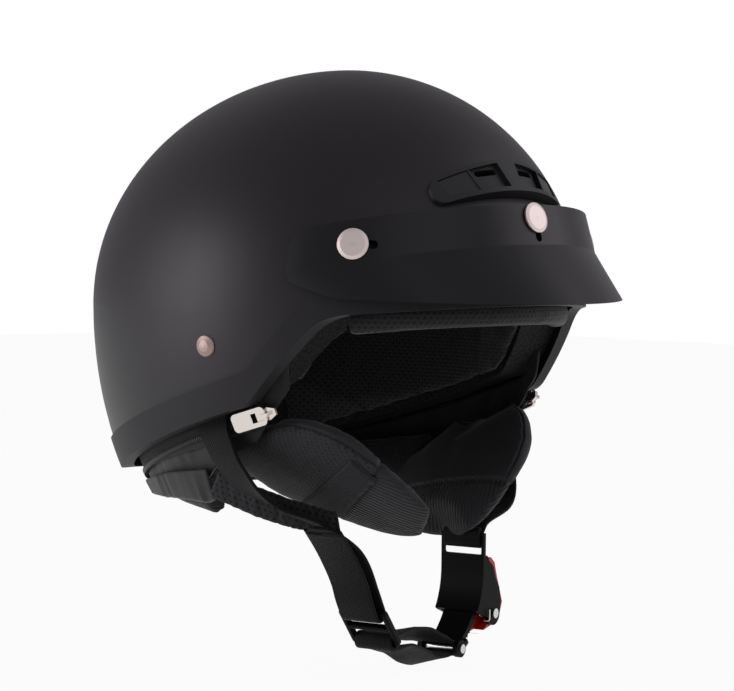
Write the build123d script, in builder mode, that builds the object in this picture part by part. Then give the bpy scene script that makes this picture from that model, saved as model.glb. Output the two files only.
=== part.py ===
from build123d import *
import os
from math import asin, cos, degrees, pi, radians, sin, sqrt, tan

os.makedirs("parts", exist_ok=True)

# The helmet stands in its own frame: +Z up, the face towards -Y, the wearer's left at +X.
# The origin is the middle of the head, at the level where the shell is widest.

# Shell: four ellipsoid quarters that meet smoothly at the widest level
shell_half_width = 117.0
shell_front_reach = 125.5
shell_rear_reach = 151.5
shell_crown_height = 122.5
shell_skirt_depth = 178.0
shell_wall = 3.5

# Edge line of the shell as seen from the side
brow_edge_level = 7.5
temple_corner_reach = 75.5
temple_corner_drop = 0.9
temple_corner_radius = 25.0
ear_corner_reach = 39.4
ear_corner_drop = 44.6
ear_corner_radius = 18.0
nape_corner_reach = 100.0
nape_corner_drop = 88.4
nape_corner_radius = 150.0
nape_edge_drop = 94.0

# Clearances, and one allowance for all cuts that run past a face
seat_gap = 0.3
running_gap = 0.35
overrun = 30.0

# Edge trim: a moulded channel pressed over the edge of the shell
trim_outer_wall = 1.2
trim_inner_wall = 1.5
trim_outer_leg = 16.0
trim_inner_leg = 8.0
trim_web = 3.0

# Foam liner and the comfort lining inside it
liner_thickness = 26.0
liner_edge_lift = 9.0
liner_channel_width = 14.0
liner_channel_depth = 6.0
liner_channel_pitch = 40.0
liner_channel_count = 3
lining_thickness = 7.0
crown_pad_half_width = 36.0
crown_pad_front = 74.0
crown_pad_rear = 92.0
crown_pad_floor = 12.0
temple_pad_top = 62.0
temple_pad_front = 62.0
temple_pad_rear = 98.0
lining_seam = 4.0

# Rolls under the edge at the brow and the nape
roll_setback = 6.0
brow_roll_thickness = 15.0
brow_roll_hang = 10.5
brow_roll_top_gap = 3.4
brow_roll_turn = 48.0
brow_roll_stations = 7
nape_roll_thickness = 15.0
nape_roll_gap = 0.8
nape_roll_side_top = 70.0
nape_roll_side_bottom = 106.0
nape_roll_rear_top = 82.5
nape_roll_rear_bottom = 98.5
nape_roll_turn = 99.0
nape_roll_stations = 9

# Air intake on the brow
vent_level = 63.9
vent_slope = 34.0
vent_rise = 6.4
vent_radius = 80.0
vent_half_length = 46.0
vent_bottom = 8.4
vent_end_top = 4.6
vent_top = 10.0
vent_corner = 6.0
vent_window_inner = 4.0
vent_window_outer = 39.0
vent_window_lean = 2.5
vent_window_bottom = 5.8
vent_window_top_inner = 8.0
vent_window_top_outer = 4.2
vent_recess = 2.4
vent_slider_inner = 22.0
vent_slider_wall = 1.4
vent_lip_width = 1.3
vent_lip_rise = 0.7
vent_slot_length = 13.0
vent_slot_height = 3.4
vent_slot_offset = 4.0

# Sun visor: a band that leans back and a brim that flares out from its crease
visor_centre_set_back = -30.0
visor_wall = 2.8
visor_tilt = 12.0
visor_top_side_room = 11.0
visor_top_front_room = 0.3
visor_top_level = 33.4
visor_crease_side_room = 7.0
visor_crease_stand_off = 5.5
visor_crease_level = 12.7
visor_brim_side_room = 11.0
visor_brim_stand_off = 32.5
visor_brim_level = 5.0
visor_brim_wall_share = 1.4
visor_end_reach = 60.5
visor_end_bottom = 16.0
visor_end_top_radius = 11.0
visor_end_bottom_radius = 8.0
visor_sweep_reach = 84.0
visor_sweep_level = 8.0
visor_sweep_radius = 25.0

# Press studs that hold the visor
snap_side_turn = 53.5
snap_side_height_share = 0.42
snap_centre_height_share = 0.66
snap_cap_radius = 7.6
snap_cap_height = 1.7
snap_cap_round = 0.8
snap_hole_radius = 2.5
snap_stem_radius = 2.3
snap_slot_width = 4.2
snap_slot_reach = 11.9
snap_socket_radius = 6.9
snap_socket_height = 2.4
snap_cavity_radius = 5.7
snap_engagement = 1.5
snap_head_radius = 3.3
snap_neck_radius = 2.3
snap_head_height = 1.4
snap_base_radius = 5.0
snap_base_height = 0.4
snap_seat_rise = 0.6
snap_shell_hole_radius = 2.0

# Chin strap rivets, anchor plates and webbing
rivet_set_back = -16.7
rivet_drop = 16.6
rivet_head_radius = 5.5
rivet_head_height = 1.8
rivet_shank_radius = 2.4
anchor_plate_width = 20.0
anchor_plate_length = 26.0
anchor_plate_wall = 2.0
anchor_bay_width = 34.0
webbing_width = 22.0
webbing_thickness = 1.8
strap_sag_room = 0.8

# Neck curtain with its turned-up cuff and zip
curtain_setback = 10.6
curtain_wall = 2.0
curtain_top_lift = 7.0
cuff_setback = 7.0
cuff_wall = 2.2
cuff_front = 2.0
zip_chain_setback = 9.0
zip_chain_wall = 1.3
zip_chain_top_drop = 3.0
zip_chain_height = 5.0
zip_chain_front = 41.0
zip_slider_reach = 42.0
zip_slider_setback = 6.0
zip_slider_length = 11.0
zip_slider_width = 6.4
zip_slider_plate = 1.4
zip_slider_flange = 0.9
zip_slider_travel = 14.0
zip_bridge_wall = 1.0
zip_bridge_width = 1.8
zip_pull_length = 19.0
zip_pull_width = 9.4
zip_pull_wall = 1.4
zip_pull_bar = 1.3
zip_pull_window_length = 6.6
zip_pull_window_width = 4.8

# Ear pads with the elastic band near their tips
ear_pad_root_half_width = 25.0
ear_pad_half_width = 31.0
ear_pad_tip_half_width = 17.0
ear_pad_root_thickness = 11.0
ear_pad_thickness = 19.0
ear_pad_tip_thickness = 10.0
ear_band_wall = 1.0
pad_shoulder_share = 0.86
pad_rise_share = 0.34

# Plane in which the chin strap hangs, turned a little about the vertical
strap_plane_set_back = -44.0
strap_plane_turn = 12.0

# Ratchet buckle: the toothed tongue and the base plate share one arc centre
arc_centre_across = 16.4
arc_centre_drop = 139.1
tongue_inner_radius = 42.6
tongue_wall = 2.8
tongue_width = 18.0
tongue_top_turn = 2.0
tongue_bottom_turn = 60.0
tongue_wide_turn = 54.0
tongue_tooth_height = 1.1
tongue_tooth_pitch = 3.5
tongue_tooth_count = 14
tongue_tooth_start_turn = 4.0
tongue_tooth_share = 0.75
plate_wall = 2.2
plate_width = 26.0
plate_bottom_turn = 31.7
plate_rise = 19.5
plate_slot_bottom = 8.0
plate_slot_height = 6.6
plate_slot_width = 22.8
cheek_wall = 2.0
cheek_corner = 3.0
cheek_top = 7.5
lever_pin_across = 51.5
lever_pin_drop = 24.1
lever_pin_radius = 2.0
lever_pin_head_radius = 2.6
lever_pin_head_height = 1.1
lever_boss_radius = 6.4
pawl_turn = 14.0
pawl_width_turn = 2.4

# Ears and pin at the free end of the tongue
end_pin_radius = 2.0
end_pin_head_radius = 2.4
end_pin_head_height = 0.9
end_pin_turn = 63.8
end_pin_arc_radius = 43.4
end_ear_radius = 4.6
end_ear_wall = 2.8
end_webbing_width = 18.0

# Torsion spring on the lever's pin
spring_wire_radius = 0.45
spring_coil_radius = 3.2
spring_turns = 3
spring_pitch = 1.4
spring_set_in = 1.0
spring_leg = 6.7
spring_hook = 6.0
spring_bend = 1.2
spring_pocket_play = 0.5
lever_swing = 12.0

# Ladder lock on the right strap
lock_top_across = -42.0
lock_top_drop = 150.5
lock_bottom_across = -28.5
lock_bottom_drop = 166.5
lock_width = 27.8
lock_bar = 3.8
lock_middle_bar = 2.6
lock_side_wall = 2.2
lock_wall = 3.8
lock_corner = 2.5

unit = 1
dome_store = {}
side_names = {-1: "right", 1: "left"}


def dome(inset):
    """Solid of the shell's outer form, drawn in all round by inset."""
    if inset in dome_store:
        return dome_store[inset]
    ball = Sphere(unit)
    skins = []
    for way, reach in ((-1, shell_front_reach), (1, shell_rear_reach)):
        for side, height in ((1, shell_crown_height), (-1, shell_skirt_depth)):
            quarter = ball & Pos(0, way * unit, side * unit) * Box(4 * unit, 2 * unit, 2 * unit)
            sizes = (shell_half_width - inset, reach - inset, height - inset)
            skins.append(scale(quarter, by=sizes).faces().sort_by(SortBy.AREA)[-1])
    dome_store[inset] = Part([Solid(Shell(skins))])
    return dome_store[inset]


def dome_wall(outer, inner):
    """Wall between two drawn-in domes."""
    return dome(outer) - dome(inner)


def edge_level(y):
    """Height of the shell's edge line at the place y, before its corners are rounded."""
    places = (
        (-shell_front_reach - overrun, brow_edge_level),
        (-temple_corner_reach, -temple_corner_drop),
        (-ear_corner_reach, -ear_corner_drop),
        (nape_corner_reach, -nape_corner_drop),
        (shell_rear_reach + overrun, -nape_edge_drop),
    )
    for (y0, z0), (y1, z1) in zip(places, places[1:]):
        if y <= y1:
            return z0 + (z1 - z0) * (y - y0) / (y1 - y0)
    return places[-1][1]


def side_block(line, radii):
    """Block of everything above a line seen from the side, rounded at its inner corners."""
    top = shell_crown_height + overrun
    first = line[0]
    last = line[-1]
    with BuildPart() as block:
        with BuildSketch(Plane.YZ):
            with BuildLine():
                if radii:
                    FilletPolyline(*line, radius=radii)
                else:
                    Polyline(*line)
                Polyline(last, (last[0], top), (first[0], top), first)
            make_face()
        extrude(amount=shell_half_width + overrun, both=True)
    return block.part


def above_edge(lift):
    """Block of everything above the edge line, with the line lifted by lift."""
    corners = [
        (-shell_front_reach - overrun, brow_edge_level + lift),
        (-temple_corner_reach, -temple_corner_drop + lift),
        (-ear_corner_reach, -ear_corner_drop + lift),
        (nape_corner_reach, -nape_corner_drop + lift),
        (shell_rear_reach + overrun, -nape_edge_drop + lift),
    ]
    return side_block(corners, [temple_corner_radius, ear_corner_radius, nape_corner_radius])


def block_behind(y):
    """Block of everything behind the place y."""
    deep = shell_skirt_depth + overrun
    return side_block([(y, -deep), (shell_rear_reach + overrun, -deep)], [])


def dome_place(y, z, inset, side):
    """Point on the drawn-in dome at the given y and z, on the right (-1) or the left (1)."""
    height = (shell_crown_height if z > 0 else shell_skirt_depth) - inset
    reach = (shell_front_reach if y < 0 else shell_rear_reach) - inset
    across = 1 - (y / reach) ** 2 - (z / height) ** 2
    return Vector(side * (shell_half_width - inset) * sqrt(across), y, z)


def dome_outward(place, inset=0.0):
    """Direction that points straight out of the dome at a place on it."""
    height = (shell_crown_height if place.Z > 0 else shell_skirt_depth) - inset
    reach = (shell_front_reach if place.Y < 0 else shell_rear_reach) - inset
    half = shell_half_width - inset
    return Vector(place.X / half**2, place.Y / reach**2, place.Z / height**2).normalized()


def turned_place(turn, z, inset):
    """Point on the drawn-in dome at height z; turn is the plan angle from the front."""
    height = (shell_crown_height if z > 0 else shell_skirt_depth) - inset
    ring = sqrt(1 - (z / height) ** 2)
    reach = shell_front_reach if cos(radians(turn)) > 0 else shell_rear_reach
    x = (shell_half_width - inset) * ring * sin(radians(turn))
    y = -(reach - inset) * ring * cos(radians(turn))
    return Vector(x, y, z)


def polar(radius, turn):
    """Point of a sketch at a radius, turned down from the X axis by turn degrees."""
    return (radius * cos(radians(turn)), -radius * sin(radians(turn)))


def cushion_section(half_width, thickness):
    """Section of a cushion: two crowned faces and two drawn-in sides."""
    shoulder = half_width * pad_shoulder_share
    rise = thickness * pad_rise_share
    crown = thickness / 2
    with BuildSketch() as section:
        with BuildLine():
            ThreePointArc((-shoulder, rise), (0, crown), (shoulder, rise))
            ThreePointArc((shoulder, rise), (half_width, 0), (shoulder, -rise))
            ThreePointArc((shoulder, -rise), (0, -crown), (-shoulder, -rise))
            ThreePointArc((-shoulder, -rise), (-half_width, 0), (-shoulder, rise))
        make_face()
    return section.sketch


def lofted(sections):
    """Solid lofted through sections, each given with its plane."""
    with BuildPart() as piece:
        for plane, section in sections:
            with BuildSketch(plane):
                add(section)
        loft()
    return piece.part


def turned(plane, outline):
    """Solid turned about a plane's normal; outline holds pairs of radius and height."""
    upright = Plane(origin=plane.origin, x_dir=plane.x_dir, z_dir=plane.x_dir.cross(plane.z_dir))
    with BuildPart() as piece:
        with BuildSketch(upright):
            with BuildLine():
                Polyline(*outline, close=True)
            make_face()
        revolve(axis=Axis(plane.origin, plane.z_dir))
    return piece.part


def ribbon(stations, thickness, anchored=0):
    """Flat strap through stations: place, direction across it, and width.

    The first spans, as many as anchored, are a loft of their own that keeps to the shell.
    """
    places = [place for place, _, _ in stations]
    sections = []
    for number, (place, across, width) in enumerate(stations):
        ahead = places[min(number + 1, len(places) - 1)] - places[max(number - 1, 0)]
        side_way = (across - ahead * (across.dot(ahead) / ahead.dot(ahead))).normalized()
        with BuildSketch() as section:
            Rectangle(width, thickness)
        plane = Plane(origin=place, x_dir=side_way, z_dir=ahead.normalized())
        sections.append((plane, section.sketch))
    if anchored:
        return lofted(sections[: anchored + 1]) + lofted(sections[anchored:])
    return lofted(sections)


def share_place(shares):
    """Place given as shares of the shell's half width, front reach and skirt depth."""
    across, forward, down = shares
    return Vector(shell_half_width * across, -shell_front_reach * forward, -shell_skirt_depth * down)


def save(piece, name):
    """Write one piece as a STEP file under its name."""
    piece.label = name
    export_step(piece, "parts/" + name + ".step")
    print(name, round(piece.volume), len(piece.solids()), piece.is_valid)


# Depths below the shell's outer face that several pieces share
trim_outer_face = -(seat_gap + trim_outer_wall)
trim_inner_face = shell_wall + seat_gap + trim_inner_wall
liner_outer_face = shell_wall + seat_gap
liner_inner_face = liner_outer_face + liner_thickness
lining_outer_face = liner_inner_face + seat_gap
lining_inner_face = lining_outer_face + lining_thickness
strap_setback = liner_outer_face + anchor_plate_wall + strap_sag_room + webbing_thickness / 2
curtain_inner_face = curtain_setback + curtain_wall
visor_front_middle = shell_front_reach + visor_centre_set_back
visor_top_half_width = shell_half_width - visor_top_side_room
visor_top_reach = visor_front_middle - visor_top_front_room
visor_crease_half_width = shell_half_width - visor_crease_side_room
visor_crease_reach = visor_front_middle + visor_crease_stand_off
visor_brim_half_width = shell_half_width - visor_brim_side_room
visor_brim_reach = visor_front_middle + visor_brim_stand_off

# Frame of the air intake: X along it, Y up the slope of the brow, Z straight out
vent_foot_reach = shell_front_reach * sqrt(1 - (vent_level / shell_crown_height) ** 2)
vent_normal = Vector(0, -cos(radians(vent_slope)), sin(radians(vent_slope)))
vent_up = Vector(0, sin(radians(vent_slope)), cos(radians(vent_slope)))
vent_apex = Vector(0, -vent_foot_reach, vent_level) + vent_normal * vent_rise
vent_plane = Plane(origin=vent_apex, x_dir=(1, 0, 0), z_dir=vent_normal)
vent_axis_foot = vent_apex - vent_normal * vent_radius - vent_up * overrun
vent_roll_plane = Plane(origin=vent_axis_foot, x_dir=(1, 0, 0), z_dir=vent_up)


def vent_roll(radius):
    """Cylinder about the axis on which the intake's sliders run."""
    whole = Cylinder(radius, 2 * overrun, align=(Align.CENTER, Align.CENTER, Align.MIN))
    return vent_roll_plane * whole


def vent_slots():
    """Blocks of the intake slots, one near the top of the inner half of each window."""
    middle = (vent_window_inner + vent_slider_inner) / 2 + vent_window_lean / 2
    with BuildPart() as slots:
        with BuildSketch(vent_plane):
            with Locations((-middle, vent_slot_offset), (middle, vent_slot_offset)):
                SlotOverall(vent_slot_length, vent_slot_height)
        extrude(amount=-overrun)
    return slots.part


def vent_window(side, inner, play):
    """Block of one window from inner to its outer end, drawn in all round by play."""
    lean = side * vent_window_lean
    run = vent_window_outer - vent_window_inner
    slope = (vent_window_top_inner - vent_window_top_outer) / run
    top_inner = vent_window_top_inner - slope * (inner - vent_window_inner) - play
    top_outer = vent_window_top_outer - play
    bottom = -vent_window_bottom + play
    near = side * (inner + play)
    far = side * (vent_window_outer - play)
    with BuildPart() as block:
        with BuildSketch(vent_plane.offset(-overrun)):
            with BuildLine():
                Polyline(
                    (near, bottom),
                    (near + lean, top_inner),
                    (far + lean, top_outer),
                    (far, bottom),
                    close=True,
                )
            make_face()
        extrude(amount=overrun + vent_rise)
    return block.part


def visor_spot(turn, share):
    """Point on the visor's band, and the direction straight out of it there."""
    lean = tan(radians(visor_tilt))
    rows = []
    for half_width, reach, level in (
        (visor_crease_half_width, visor_crease_reach, visor_crease_level),
        (visor_top_half_width, visor_top_reach, visor_top_level),
    ):
        forward = reach * cos(radians(turn))
        x = half_width * sin(radians(turn))
        rows.append(Vector(x, visor_centre_set_back - forward, level + forward * lean))
    low, high = rows
    half_width = visor_crease_half_width + (visor_top_half_width - visor_crease_half_width) * share
    reach = visor_crease_reach + (visor_top_reach - visor_crease_reach) * share
    back = reach * sin(radians(turn))
    along = Vector(half_width * cos(radians(turn)), back, -back * lean)
    return low + (high - low) * share, along.cross(high - low).normalized()


# Each press stud: its turn round the visor, its height on the band, and the way its slot runs
snap_places = (
    (-snap_side_turn, snap_side_height_share, 0.0),
    (0.0, snap_centre_height_share, -90.0),
    (snap_side_turn, snap_side_height_share, 180.0),
)


def snap_plane(turn, share, rise=0.0):
    """Plane on the visor at a press stud, facing out, with its X axis level."""
    place, outward = visor_spot(turn, share)
    level = Vector(-outward.Y, outward.X, 0).normalized()
    return Plane(origin=place + outward * rise, x_dir=level, z_dir=outward)


def stud_foot(turn, share):
    """How far in front of the dome a press stud's place on the visor stands."""
    plane = snap_plane(turn, share)
    near = 0.0
    far = overrun
    for _ in range(24):
        middle = (near + far) / 2
        spot = plane.origin - plane.z_dir * middle
        across = spot.X / shell_half_width
        forward = spot.Y / shell_front_reach
        up = spot.Z / shell_crown_height
        if across**2 + forward**2 + up**2 < 1:
            far = middle
        else:
            near = middle
    return far


def rivet_plane(side):
    """Plane on the shell at a chin strap rivet, X rearwards on the left, facing out."""
    place = dome_place(rivet_set_back, -rivet_drop, 0.0, side)
    return Plane(origin=place, x_dir=(0, side, 0), z_dir=dome_outward(place))


# Outer shell
shell_zone = above_edge(trim_web)
shell_body = dome_wall(0.0, shell_wall)
vent_slot_blocks = vent_slots()
with BuildPart() as outer_shell:
    add(shell_body)
    add(shell_zone, mode=Mode.INTERSECT)
    add(vent_slot_blocks, mode=Mode.SUBTRACT)
    for turn, share, _ in snap_places:
        with BuildSketch(snap_plane(turn, share)):
            Circle(snap_shell_hole_radius)
        extrude(amount=-overrun, mode=Mode.SUBTRACT)
    for side in side_names:
        with BuildSketch(rivet_plane(side)):
            Circle(rivet_shank_radius + seat_gap)
        extrude(amount=overrun, both=True, mode=Mode.SUBTRACT)
save(outer_shell.part, "outer_shell")

# Edge trim
trim_zone = above_edge(0.0) - above_edge(trim_outer_leg)
trim_groove = dome_wall(-seat_gap, liner_outer_face) & above_edge(trim_web - seat_gap)
trim_inside = dome(liner_outer_face) & above_edge(trim_inner_leg)
trim_body = dome_wall(trim_outer_face, trim_inner_face)
with BuildPart() as edge_trim:
    add(trim_body)
    add(trim_zone, mode=Mode.INTERSECT)
    add(trim_groove, mode=Mode.SUBTRACT)
    add(trim_inside, mode=Mode.SUBTRACT)
save(edge_trim.part, "edge_trim")

# Foam liner, with channels that lead the intake air to the back and bays for the strap anchors
liner_zone = above_edge(liner_edge_lift)
channel_wall = dome_wall(liner_outer_face - seat_gap, liner_outer_face + liner_channel_depth)
bay_wall = dome_wall(0.0, strap_setback + 2 * webbing_thickness)
liner_body = dome_wall(liner_outer_face, liner_inner_face)
with BuildPart() as liner_channels:
    with BuildSketch(Plane.XY):
        with GridLocations(liner_channel_pitch, 0, liner_channel_count, 1):
            Rectangle(liner_channel_width, 2 * shell_front_reach - 2 * liner_thickness)
    extrude(amount=shell_crown_height)
    add(channel_wall, mode=Mode.INTERSECT)
with BuildPart() as anchor_bays:
    with BuildSketch(Plane.YZ):
        with Locations((rivet_set_back + webbing_width / 4, -rivet_drop - overrun / 2)):
            Rectangle(anchor_bay_width, 2 * overrun)
    extrude(amount=shell_half_width, both=True)
    add(bay_wall, mode=Mode.INTERSECT)
with BuildPart() as impact_liner:
    add(liner_body)
    add(liner_zone, mode=Mode.INTERSECT)
    add(liner_channels.part, mode=Mode.SUBTRACT)
    add(anchor_bays.part, mode=Mode.SUBTRACT)
save(impact_liner.part, "impact_liner")

# Comfort lining inside the foam: a crown pad and two side pads
lining_wall = dome_wall(lining_outer_face, lining_inner_face)
crown_length = crown_pad_front + crown_pad_rear
with BuildPart() as crown_pad:
    add(lining_wall)
    with BuildSketch(Plane.XY.offset(crown_pad_floor)):
        with Locations((0, crown_pad_rear - crown_length / 2)):
            RectangleRounded(2 * crown_pad_half_width, crown_length, crown_pad_half_width / 2)
    extrude(amount=shell_crown_height, mode=Mode.INTERSECT)
save(crown_pad.part, "crown_pad")

for side, side_name in side_names.items():
    with BuildPart() as temple_pad:
        add(lining_wall)
        add(liner_zone, mode=Mode.INTERSECT)
        with BuildSketch(Plane.YZ.offset(side * (crown_pad_half_width + lining_seam))):
            with BuildLine():
                Polyline(
                    (-temple_pad_front, -temple_corner_drop),
                    (-temple_pad_front, temple_pad_top / 2),
                    (-temple_pad_front / 2, temple_pad_top),
                    (temple_pad_rear / 2, temple_pad_top),
                    (temple_pad_rear, 0),
                    (temple_pad_rear, -nape_corner_drop),
                    (-temple_pad_front, -nape_corner_drop),
                    close=True,
                )
            make_face()
        extrude(amount=side * shell_half_width, mode=Mode.INTERSECT)
    save(temple_pad.part, "temple_pad_" + side_name)


def roll_plane(turn, level, inset):
    """Plane across a roll under the edge: X up the wall, Y straight out, facing along the roll."""
    middle = turned_place(turn, level, inset)
    outward = dome_outward(middle, inset)
    along = Vector(-outward.Y, outward.X, 0).normalized()
    return Plane(origin=middle, x_dir=outward.cross(along), z_dir=along)


# Brow roll: a crowned cushion that follows the edge across the forehead
brow_inset = roll_setback + brow_roll_thickness / 2
brow_sections = []
for step in range(brow_roll_stations):
    turn = brow_roll_turn * (2 * step / (brow_roll_stations - 1) - 1)
    level = edge_level(turned_place(turn, brow_edge_level, brow_inset).Y)
    top = level + liner_edge_lift - brow_roll_top_gap
    bottom = level - brow_roll_hang
    section = cushion_section((top - bottom) / 2, brow_roll_thickness)
    brow_sections.append((roll_plane(turn, (top + bottom) / 2, brow_inset), section))
brow_pad = lofted(brow_sections)
save(brow_pad, "brow_pad")

# Nape roll: the same kind of cushion round the back of the neck
nape_inset = curtain_inner_face + nape_roll_gap + nape_roll_thickness / 2
nape_sections = []
for step in range(nape_roll_stations):
    swing = 2 * step / (nape_roll_stations - 1) - 1
    turn = 180 + (180 - nape_roll_turn) * swing
    to_side = swing**2
    top = -nape_roll_rear_top + (nape_roll_rear_top - nape_roll_side_top) * to_side
    bottom = -nape_roll_rear_bottom + (nape_roll_rear_bottom - nape_roll_side_bottom) * to_side
    plane = roll_plane(turn, (top + bottom) / 2, nape_inset)
    half_height = (top - bottom) / 2 / plane.x_dir.Z
    nape_sections.append((plane, cushion_section(half_height, nape_roll_thickness)))
nape_pad = lofted(nape_sections)
save(nape_pad, "nape_pad")

# Intake housing: a lens-shaped pod with two windows and an intake slot in each
vent_cutter = dome(-seat_gap)
vent_form = vent_roll(vent_radius)
vent_windows = []
for side in side_names:
    vent_windows.append(vent_window(side, vent_window_inner, 0.0) - vent_roll(vent_radius - vent_recess))
with BuildPart() as vent_housing:
    with BuildSketch(vent_plane.offset(-overrun)) as vent_outline:
        with BuildLine():
            high_right = (-vent_half_length, vent_end_top)
            high_left = (vent_half_length, vent_end_top)
            low_right = (-vent_half_length, -vent_bottom)
            low_left = (vent_half_length, -vent_bottom)
            Polyline(high_right, low_right, low_left, high_left)
            ThreePointArc(high_left, (0, vent_top), high_right)
        make_face()
        fillet(vent_outline.vertices(), radius=vent_corner)
    extrude(amount=overrun + vent_rise)
    add(vent_form, mode=Mode.INTERSECT)
    add(vent_cutter, mode=Mode.SUBTRACT)
    for window in vent_windows:
        add(window, mode=Mode.SUBTRACT)
    add(vent_slot_blocks, mode=Mode.SUBTRACT)
save(vent_housing.part, "vent_housing")

# Vent sliders: curved plates with a raised lip, each closing the outer half of its window
slider_floor_radius = vent_radius - vent_recess + running_gap
slider_face_radius = slider_floor_radius + vent_slider_wall
for side, side_name in side_names.items():
    slider_form = vent_window(side, vent_slider_inner, running_gap)
    slider_wall = vent_roll(slider_face_radius + vent_lip_rise) - vent_roll(slider_floor_radius)
    lip_cut = vent_window(side, vent_slider_inner + vent_lip_width, 0.0) - vent_roll(slider_face_radius)
    with BuildPart() as vent_slider:
        add(slider_form)
        add(slider_wall, mode=Mode.INTERSECT)
        add(lip_cut, mode=Mode.SUBTRACT)
    save(vent_slider.part, "vent_slider_" + side_name)


def visor_cone(wall, brim_wall, stretch_share):
    """Ruled loft through the visor's three ellipses, drawn in by its wall and stretched both ways."""
    tilt = radians(visor_tilt)
    brim = (visor_brim_half_width - brim_wall, visor_brim_reach - brim_wall, visor_brim_level, 0)
    crease = (visor_crease_half_width - wall, visor_crease_reach - wall, visor_crease_level, tilt)
    top = (visor_top_half_width - wall, visor_top_reach - wall, visor_top_level, tilt)
    low = [middle + (end - middle) * stretch_share for end, middle in zip(brim, crease)]
    high = [middle + (end - middle) * stretch_share for end, middle in zip(top, crease)]
    with BuildPart() as cone:
        for half_width, reach, level, lean in (low, crease, high):
            ring_plane = Plane(
                origin=(0, visor_centre_set_back, level),
                x_dir=(1, 0, 0),
                z_dir=(0, sin(lean), cos(lean)),
            )
            with BuildSketch(ring_plane):
                Ellipse(half_width, reach / cos(lean))
        loft(ruled=True)
    return cone.part


# Visor: the hollow cone cut to its outline from the side, with a hole and a slot at each stud
visor_outside = visor_cone(0.0, 0.0, 1.0)
visor_inside_share = 1.05
visor_inside = visor_cone(visor_wall, visor_wall * visor_brim_wall_share, visor_inside_share)
visor_front = shell_front_reach + 2 * overrun
visor_end_rise = visor_top_level + (visor_end_reach + visor_centre_set_back) * tan(radians(visor_tilt))
visor_front_rise = visor_top_level + (visor_front + visor_centre_set_back) * tan(radians(visor_tilt))
visor_half_span = shell_half_width + overrun
with BuildPart() as visor:
    add(visor_outside)
    with BuildSketch(Plane.YZ.offset(-visor_half_span)):
        with BuildLine():
            FilletPolyline(
                (-visor_front, visor_brim_level),
                (-visor_sweep_reach, visor_sweep_level),
                (-visor_end_reach, visor_end_bottom),
                (-visor_end_reach, visor_end_rise),
                (-visor_front, visor_front_rise),
                radius=[visor_sweep_radius, visor_end_bottom_radius, visor_end_top_radius],
            )
            Line((-visor_front, visor_front_rise), (-visor_front, visor_brim_level))
        make_face()
    extrude(amount=2 * visor_half_span, mode=Mode.INTERSECT)
    add(visor_inside, mode=Mode.SUBTRACT)
    for turn, share, slot_turn in snap_places:
        slot_length = snap_slot_reach + snap_slot_width / 2
        slot_middle = slot_length / 2 - snap_slot_width / 2
        with BuildSketch(snap_plane(turn, share)):
            Circle(snap_hole_radius)
            with PolarLocations(slot_middle, 1, start_angle=slot_turn):
                SlotOverall(slot_length, snap_slot_width)
        extrude(amount=2 * visor_wall, both=True, mode=Mode.SUBTRACT)
save(visor.part, "visor")

# Press stud caps outside the visor, each with the stem that goes through its hole
stem_end = -visor_wall - 2 * seat_gap
cap_outline = (
    (0, snap_cap_height),
    (snap_cap_radius - 2 * snap_cap_round, snap_cap_height - snap_cap_round / 4),
    (snap_cap_radius, snap_cap_height - snap_cap_round),
    (snap_cap_radius, 0),
    (snap_stem_radius, 0),
    (snap_stem_radius, stem_end),
    (0, stem_end),
)
snap_cap_list = [turned(snap_plane(turn, share, seat_gap), cap_outline) for turn, share, _ in snap_places]
with BuildPart() as snap_caps:
    for cap in snap_cap_list:
        add(cap)
save(snap_caps.part, "visor_snap_caps")

# Press stud sockets under the visor, open towards the shell
socket_top = -visor_wall - seat_gap
socket_mouth = socket_top - snap_socket_height
socket_ceiling = socket_mouth + snap_engagement + running_gap
socket_outline = (
    (0, socket_top),
    (snap_socket_radius, socket_top),
    (snap_socket_radius, socket_mouth),
    (snap_cavity_radius, socket_mouth),
    (snap_cavity_radius, socket_ceiling),
    (0, socket_ceiling),
)
socket_list = [turned(snap_plane(turn, share), socket_outline) for turn, share, _ in snap_places]
with BuildPart() as snap_sockets:
    for socket in socket_list:
        add(socket)
save(snap_sockets.part, "visor_snap_sockets")

# Press studs on the shell: a shank through the wall, a flange outside it, a neck and a head
head_top = socket_mouth + snap_engagement
head_bottom = head_top - snap_head_height
shank_radius = snap_shell_hole_radius - seat_gap
stud_list = []
for turn, share, _ in snap_places:
    foot = -stud_foot(turn, share)
    stud_outline = (
        (0, head_top),
        (snap_head_radius - snap_head_height / 4, head_top),
        (snap_head_radius, head_top - snap_head_height / 4),
        (snap_head_radius, head_bottom + snap_head_height / 4),
        (snap_neck_radius, head_bottom),
        (snap_neck_radius, foot + snap_seat_rise + snap_base_height),
        (snap_base_radius, foot + snap_seat_rise + snap_base_height / 2),
        (snap_base_radius, foot + snap_seat_rise),
        (shank_radius, foot + snap_seat_rise),
        (shank_radius, foot - shell_wall),
        (0, foot - shell_wall),
    )
    stud_list.append(turned(snap_plane(turn, share), stud_outline))
with BuildPart() as snap_studs:
    for stud in stud_list:
        add(stud)
save(snap_studs.part, "snap_studs")

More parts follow.
